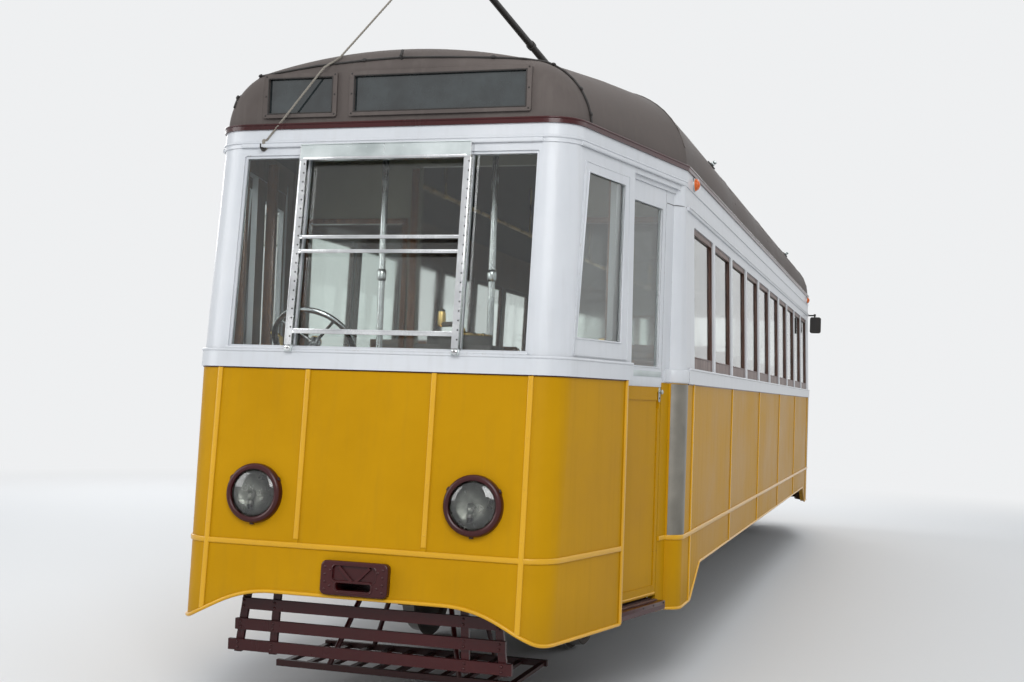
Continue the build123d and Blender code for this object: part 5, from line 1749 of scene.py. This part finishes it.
# %% Marker domes and mirror faces
lamps = Maker(amber, galvanised)
seat = frame_at(side_leaning(3.990, 1.0755, 0.0052), SIDE_OUT)
profile = [(0.0345, 0.0), (0.0345, 0.006)]
for k in range(1, 19):
    a = pi / 2 * k / 18
    ripple = 0.0006 * (1 if k % 2 else -1)
    profile.append(((0.0335 + ripple) * cos(a), 0.006 + (0.0262 + ripple) * sin(a)))
profile[-1] = (0, profile[-1][1])
lamps.turned(seat, profile, 0, 32)
lamps.turned(seat, [(0.0345, -0.001), (0.0385, -0.001), (0.0385, 0.004), (0.0365, 0.0062),
                    (0.0345, 0.0064)], 1, 32)
lamp_domes = lamps.done("marker_domes", CAR, CORNERS)
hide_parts("marker_lamps")
faces = Maker(silver, iron)
seat = frame_at((1.250, 4.1918, 2.360), (0, 1, 0))
faces.plate(seat, rounded_box(0.104, 0.164, 0.018, 4), 0.0012, 0)
faces.turned(frame_at((1.240, 4.190, 2.472), (0, 0, 1)), [(0, -0.014), (0.013, -0.012),
             (0.013, 0.010), (0.008, 0.014), (0, 0.014)], 1, 16)
faces.done("mirror_faces", CAR, flips((1, 1), (-1, -1)))
print("corner lamps", grown[-2:])

# %% [markdown]
# Inside. Slatted benches stand in for the plain seat blocks. Each has a row of slats that
# follow the curve of the seat, a slatted back under a top rail, wooden ends, and a brass
# handle beside the aisle.

# %% Benches
SLATS = [
    # y, z, tilt of the slat in degrees
    (-0.222, 1.303, -38), (-0.172, 1.318, -8), (-0.117, 1.3165, 0), (-0.062, 1.3135, 3),
    (-0.007, 1.311, 3), (0.048, 1.311, 0), (0.103, 1.3135, -4), (0.153, 1.318, -8),
]
BACKS = [1.435, 1.495, 1.555, 1.615, 1.675, 1.735, 1.773]
ROWS = [-3.2 + 0.8 * row for row in range(9)]
slat_paths = []
for y0 in ROWS:
    for y, z, tilt in SLATS:
        out = Vector((0, sin(radians(-tilt)), cos(radians(tilt))))
        slat_paths.append([((0.332, y0 + y, z), out), ((1.118, y0 + y, z), out)])
slats = grow("bench_slats", bar_tree, bench_wood, slat_paths, SIDES, Width=0.046, Depth=0.020,
             Round=0.005)
back_paths = []
way = Vector((0, -1, 0.06)).normalized()
for y0 in ROWS:
    for z in BACKS:
        back_paths.append([((0.342, y0 + 0.217, z), way), ((1.108, y0 + 0.217, z), way)])
grow("bench_backs", bar_tree, bench_wood, back_paths, SIDES, Width=0.048, Depth=0.026,
     Round=0.006)
ends = Maker(bench_wood, brass)
for y0 in ROWS:
    for x in (0.352, 1.098):
        seat = frame_at((x, y0 - 0.030, 1.2880), (1, 0, 0))
        ends.block(seat, (0.400, 0.042, 0.030), 0, 0.006)
        upright = frame_at((x, y0 + 0.219, 1.590), (1, 0, 0))
        ends.block(upright, (0.034, 0.385, 0.022), 0, 0.006)
    ends.bar([(0.345, y0 + 0.219, 1.788), (1.105, y0 + 0.219, 1.788)], 0.011, 0, 10)
    ends.bar([(0.338, y0 + 0.219, 1.700), (0.322, y0 + 0.219, 1.720), (0.320, y0 + 0.219, 1.760),
              (0.338, y0 + 0.219, 1.785)], 0.008, 1, 8)
ends.done("bench_ends", CAR, SIDES)
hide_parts("seat_benches")
print("benches", grown[-3:])

# %% [markdown]
# Cabin. Lamp globes and grab rails hang from the ceiling, which rays cast upward find.
# Wooden posts frame the doorways, the bulkheads get mouldings, and a pane fills each of
# their windows.

# %% Cabin fittings
cabin = Maker(cabin_wood, brass, lens_glass, iron)
for x in (-0.62, 0.62):
    cabin.bar([(x, -4.05, 2.735), (x, 0, 2.735), (x, 4.05, 2.735)], 0.014, 1, 12)
    for k in range(9):
        y = -4.0 + k
        place, out, _, _ = roof_skin.ray_cast(Vector((x, y + 0.01, 2.72)), Vector((0, 0, 1)))
        if place is not None:
            cabin.bar([(x, y, 2.735), (x, y, place.z - 0.002)], 0.009, 1, 8)
            cabin.turned(at(x, y, 2.735), [(0, -0.020), (0.014, -0.014),
                         (0.019, 0), (0.014, 0.014), (0, 0.020)], 1, 14)
for k in range(6):
    y = -3.5 + 1.4 * k
    place, out, _, _ = roof_skin.ray_cast(Vector((0.0, y + 0.01, 2.8)), Vector((0, 0, 1)))
    top = place.z if place is not None else 3.16
    cabin.turned(at(0, y, top), [(0, -0.03), (0.055, -0.028), (0.060, -0.010),
                 (0.062, 0.0)], 1, 24)
    cabin.turned(at(0, y, top - 0.028), [(0.045, 0), (0.060, -0.020),
                 (0.068, -0.048), (0.060, -0.080), (0.036, -0.104), (0, -0.112)], 2, 24)
cabin.done("ceiling_fittings", CAR)
posts = Maker(cabin_wood, brass)
for s, n in ((0.680, -0.128), (1.205, -0.118)):
    low, high = flank(s, n, 0.722), flank(s, n, 2.62)
    middle = (low + high) / 2
    posts.block(frame_at(middle, OUT), (0.050, high.z - low.z, 0.050), 0, 0.006)
rail = [flank(0.690, -0.175, 1.05), flank(0.690, -0.205, 1.07), flank(0.690, -0.205, 1.72),
        flank(0.690, -0.175, 1.74)]
posts.bar([flank(0.690, -0.150, 1.05), *rail, flank(0.690, -0.150, 1.74)], 0.012, 1, 10)
posts.done("doorway_posts", CAR, CORNERS)
trim = Maker(cabin_wood, brass)
for x0, x1 in ((0.440, 1.020), (-1.020, -0.440)):
    middle = (x0 + x1) / 2
    for y, way in ((4.1600, 1), (4.1200, -1)):
        face = frame_at((middle, y, 2.030), (0, way, 0))
        for dx, dy, w, h in ((0, 0.384, 0.62, 0.030), (0, -0.384, 0.62, 0.040),
                             (0.304, 0, 0.030, 0.80), (-0.304, 0, 0.030, 0.80)):
            trim.block(face @ at(dx, dy, 0.006), (w, h, 0.012), 0, 0.003)
        panel = frame_at((middle, y, 1.250), (0, way, 0))
        for dx, dy, w, h in ((0, 0.300, 0.56, 0.022), (0, -0.300, 0.56, 0.022),
                             (0.27, 0, 0.022, 0.60), (-0.27, 0, 0.022, 0.60)):
            trim.block(panel @ at(dx, dy, 0.005), (w, h, 0.010), 0, 0.003)
for x in (-0.352, 0.352):
    for y, way in ((4.160, 1), (4.120, -1)):
        face = frame_at((x + (0.022 if x > 0 else -0.022), y, 1.790), (0, way, 0))
        trim.block(face @ at(0, 0, 0.007), (0.044, 1.84, 0.014), 0, 0.004)
trim.done("bulkhead_mouldings", CAR, ENDS)
panes = Maker(pane_glass)
for x in (-0.73, 0.73):
    panes.block(frame_at((x, 4.140, 2.030), (0, 1, 0)), (0.580, 0.740, 0.005), 0, 0.0005, 1)
panes.done("bulkhead_panes", CAR, ENDS)
print("cabin", grown[-4:])

# %% [markdown]
# The driver's gear. A drum controller carries a brass cap with a notched ring, and a brass
# grip on its crank; the hand brake has a brass boss on its wheel; a low hand rail crosses
# under the screen.

# %% Driver's gear
stand = Maker(brass, iron, grey_iron)
cap = at(0.310, 5.300, 1.7262)
stand.turned(cap, [(0.150, -0.004), (0.153, 0.0), (0.150, 0.006), (0.128, 0.009), (0.120, 0.005),
                   (0.060, 0.006), (0.052, 0.016), (0.026, 0.020), (0.024, 0.034), (0, 0.036)],
             0, 48)
for k in range(11):
    a = radians(20 + 22 * k)
    notch = cap @ Matrix.Rotation(a, 4, "Z") @ at(0.138, 0, 0.009)
    stand.block(notch, (0.018, 0.004, 0.004), 1, 0.0008, 1)
grip = at(0.190, 5.220, 1.800)
stand.turned(grip, [(0.0165, -0.030), (0.0185, -0.026), (0.0195, 0.0), (0.0185, 0.030),
                    (0.0150, 0.046), (0.008, 0.053), (0, 0.0545)], 0, 24)
for z in (0.90, 1.45):
    for dx in (-0.15, 0.15):
        stand.turned(frame_at((0.31 + dx, 5.160, z), (0, -1, 0)), [(0, 0), (0.012, 0),
                     (0.012, 0.003), (0.008, 0.006), (0, 0.0065)], 0, 16)
stand.block(frame_at((0.31, 5.1590, 1.175), (0, -1, 0)), (0.330, 0.680, 0.008), 2, 0.003)
stand.block(frame_at((0.31, 5.1580, 1.600), (0, -1, 0)), (0.200, 0.060, 0.006), 0, 0.002)
stand.done("controller_fittings", CAR, DRIVER)
tilt = radians(50)
wheel_axis = Vector((0, -sin(tilt), cos(tilt)))
wheel_mid = Vector((-0.430, 5.280, 1.675))
boss = Maker(brass, bright)
boss.turned(frame_at(wheel_mid + wheel_axis * 0.019, wheel_axis, (1, 0, 0)),
            [(0.0285, -0.002), (0.030, 0.002), (0.026, 0.007), (0.016, 0.009), (0.014, 0.016),
             (0.008, 0.021), (0, 0.022)], 0, 28)
foot = wheel_mid - wheel_axis * 0.100
boss.turned(at(foot.x, foot.y, 0.7195), [(0.065, 0), (0.065, 0.010),
            (0.034, 0.016), (0.026, 0.040), (0.0205, 0.044)], 1, 28)
boss.done("brake_wheel_fittings", CAR, DRIVER)
sill = Maker(cabin_wood, iron, bright)
sill.block(at(0, 5.470, 1.600), (1.480, 0.120, 0.026), 0, 0.006)
sill.bar([(-0.66, 5.400, 1.50), (0.66, 5.400, 1.50)], 0.013, 2, 10)
for x in (-0.62, 0.62):
    sill.bar([(x, 5.400, 1.50), (x, 5.530, 1.50)], 0.009, 2, 8)
sill.done("screen_shelf", CAR, ENDS)
knobs = Maker(bright)
for x in (-0.295, 0.295):
    for z in (1.10, 2.05):
        knobs.turned(at(x, 4.800, z), [(0.0172, -0.030), (0.022, -0.024),
                     (0.0235, -0.008), (0.0235, 0.008), (0.022, 0.024), (0.0172, 0.030)], 0, 20)
    knobs.turned(at(x, 4.800, 0.7195), [(0.045, 0), (0.045, 0.008),
                 (0.026, 0.014), (0.020, 0.040), (0.0172, 0.042)], 0, 24)
knobs.done("grab_pole_collars", CAR, ENDS)
print("driver's gear", grown[-4:])

# %% [markdown]
# Steps and gates. The treads have wooden ribs, a maroon nosing and a worn steel sill
# plate. The gates are bolted where their boards cross the uprights.

# %% Steps and gates
tread = Maker(step_wood, maroon, iron, tread_steel)
for k in range(8):
    n = -0.300 + 0.036 * k
    seat = frame_at(flank(0.4785, n, 0.4585), (0, 0, 1), OUT)
    tread.block(seat, (0.500, 0.022, 0.007), 0, 0.0018)
nose = frame_at(flank(0.4785, -0.013, 0.4565), (0, 0, 1), OUT)
tread.block(nose, (0.520, 0.030, 0.0035), 1, 0.0012)
face = on_flank(0.4785, 0.0, 0.448)
tread.block(face, (0.520, 0.020, 0.003), 1, 0.001)
for s in (0.235, 0.360, 0.480, 0.600, 0.722):
    spot = on_flank(s, 0.0015, 0.448)
    tread.turned(spot, [(0, 0), (0.005, 0), (0.004, 0.0018), (0, 0.0020)], 2, 10)
sill_plate = frame_at(flank(0.4785, -0.322, 0.7215), (0, 0, 1), OUT)
tread.block(sill_plate, (0.520, 0.050, 0.004), 3, 0.0015)
tread.done("step_treads", CAR, CORNERS)
gate_bolts = []
for z, x_out, x_in in ((0.465, 0.6088, 0.4547), (0.370, 0.6218, 0.4595), (0.275, 0.6348, 0.4643)):
    for x in (x_out, x_in):
        for dz in (-0.012, 0.012):
            gate_bolts += [((side, 5.5400, z + dz), (0, 1, 0)) for side in (-x, x)]
studs("gate_bolts", maroon, gate_bolts, 0.0075, 0.005, ENDS, sides=8, rings=4)
print("steps", grown[-2:])

# %% [markdown]
# Bogies. Rivets run round the axle guides and along the side frames. The axleboxes have
# bolted round covers, and brake rods with an adjuster pass between them.

# %% Bogies
BOGIES = {"bogie_front": -2.750, "bogie_rear": 2.750}
AXLES = (-0.725, 0.725)  # before and behind a bogie's middle
FRAME_X = 0.6402  # outer face of its side frames
GUIDE_RIVETS = [(off, z) for z in (0.250, 0.300, 0.350, 0.400, 0.445) for off in (-0.108, 0.108)]
GUIDE_RIVETS += [(off, 0.485) for off in (-0.060, -0.020, 0.020, 0.060)]
for bogie, middle in BOGIES.items():
    rivets, caps = [], []
    for dy in AXLES:
        for side in (-1, 1):
            rivets += [((side * FRAME_X, middle + dy + off, z), (side, 0, 0))
                       for off, z in GUIDE_RIVETS]
            for k in range(6):
                a = 2 * pi * k / 6
                caps.append(((side * 0.7118, middle + dy + 0.056 * cos(a),
                              0.343 + 0.056 * sin(a)), (side, 0, 0)))
    for side in (-1, 1):
        rivets += [((side * FRAME_X, middle - 0.36 + 0.09 * k, z), (side, 0, 0))
                   for k in range(9) for z in (0.475, 0.352)]
    studs(bogie + "_rivets", iron, rivets, 0.009, 0.006, body=bogie)
    studs(bogie + "_cap_bolts", tread_steel, caps, 0.0085, 0.009, body=bogie, sides=6, rings=4)
    rods = Maker(iron, tread_steel, galvanised)
    for side in (-1, 1):
        x = side * 0.490
        rods.bar([(x, middle - 1.075, 0.290), (x, middle - 0.30, 0.262), (x, middle + 0.30, 0.262),
                  (x, middle + 1.075, 0.290)], 0.014, 0, 10)
        for y in (-1.075, 1.075):
            rods.turned(frame_at((x, middle + y, 0.300), (side, 0, 0)), [(0, -0.030),
                        (0.026, -0.030), (0.028, 0), (0.026, 0.024), (0, 0.028)], 0, 18)
        rods.turned(frame_at((x, middle, 0.262), (0, 1, 0)), [(0, -0.090), (0.022, -0.085),
                    (0.026, -0.070), (0.026, 0.070), (0.022, 0.085), (0, 0.090)], 1, 16)
        for dy in AXLES:
            box_face = frame_at((side * 0.7125, middle + dy, 0.343), (side, 0, 0))
            rods.turned(box_face, [(0.070, -0.004), (0.072, 0.0), (0.066, 0.004), (0.042, 0.006),
                        (0.036, 0.016), (0.020, 0.021), (0, 0.022)], 0, 28)
            for off in (-0.094, 0.094):
                rods.block(at(side * 0.6405, middle + dy + off, 0.335), (0.014, 0.010, 0.220),
                           1, 0.002)
    rods.done(bogie + "_rods", bogie)
print("bogies", grown[-3:])

# %% [markdown]
# Under the floor. A pipe runs along each side in clips, with a branch to the air tank and
# one to the pump. The tank gets straps, the resistor its grids, and the motors their lids
# and round end covers.

# %% Pipes and cables under the floor
pipes = Maker(iron, galvanised, brass)
for x in (-0.86, 0.86):
    pipes.bar([(x, y, 0.792) for y in (-3.90, -1.5, 1.5, 3.90)], 0.017, 1, 10)
    for k in range(7):
        y = -3.6 + 1.2 * k
        pipes.block(at(x, y, 0.802), (0.050, 0.030, 0.034), 0, 0.004)
pipes.bar([(0.56, 0.95, 0.520), (0.56, 1.02, 0.530), (0.56, 1.06, 0.600), (0.62, 1.08, 0.760),
         (0.80, 1.10, 0.785), (0.86, 1.16, 0.790)], 0.012, 1, 8)
pipes.bar([(-0.53, 0.25, 0.600), (-0.53, 0.16, 0.640), (-0.60, 0.10, 0.760), (-0.80, 0.06, 0.788),
         (-0.86, 0.0, 0.790)], 0.012, 1, 8)
for y in (0.16, 0.84):
    ring = [Vector((0.56 + 0.153 * cos(a), y, 0.48 + 0.153 * sin(a)))
            for a in [2 * pi * k / 32 for k in range(34)]]
    pipes.bar(ring, 0.007, 0, 6)
pipes.turned(frame_at((0.56, 0.955, 0.48), (0, 1, 0)),
             [(0, -0.004), (0.030, -0.004), (0.030, 0.006), (0.018, 0.010), (0.018, 0.020),
              (0, 0.022)], 2, 16)
for k in range(13):
    y = -0.600 + 0.040 * k
    for x in (-0.3, -0.18, -0.06, 0.06, 0.18, 0.3):
        pipes.block(at(x, y, 0.510), (0.062, 0.012, 0.176), 1, 0.002, 1)
for x in (-0.70, -0.36):
    for z in (0.46, 0.64):
        pipes.turned(frame_at((x, 0.7605, z), (0, 1, 0)), [(0, 0), (0.012, 0), (0.010, 0.007),
                   (0, 0.008)], 0, 8)
pipes.block(at(-0.53, 0.764, 0.55), (0.300, 0.008, 0.160), 0, 0.004)
pipes.done("underfloor_pipes", CAR)
for bogie, middle in BOGIES.items():
    lids = Maker(iron, tread_steel)
    for way in (-1, 1):
        mid = middle + way * 0.430
        lids.block(at(0, mid, 0.5465), (0.300, 0.220, 0.010), 0, 0.004)
        for x in (-0.13, 0.13):
            for dy in (-0.09, 0.09):
                lids.turned(at(x, mid + dy, 0.551), [(0, 0), (0.012, 0),
                            (0.012, 0.006), (0, 0.008)], 1, 6)
        for x in (-0.2555, 0.2555):
            face = frame_at((x, mid, 0.345), (1 if x > 0 else -1, 0, 0))
            lids.turned(face, [(0.150, 0), (0.150, 0.006), (0.100, 0.010), (0.060, 0.012),
                               (0.055, 0.020), (0, 0.022)], 0, 36)
    lids.done(bogie + "_motor_lids", bogie)
print("underside", grown[-3:], "all grown pieces", len(grown), "faces", sum(n for _, n in grown))
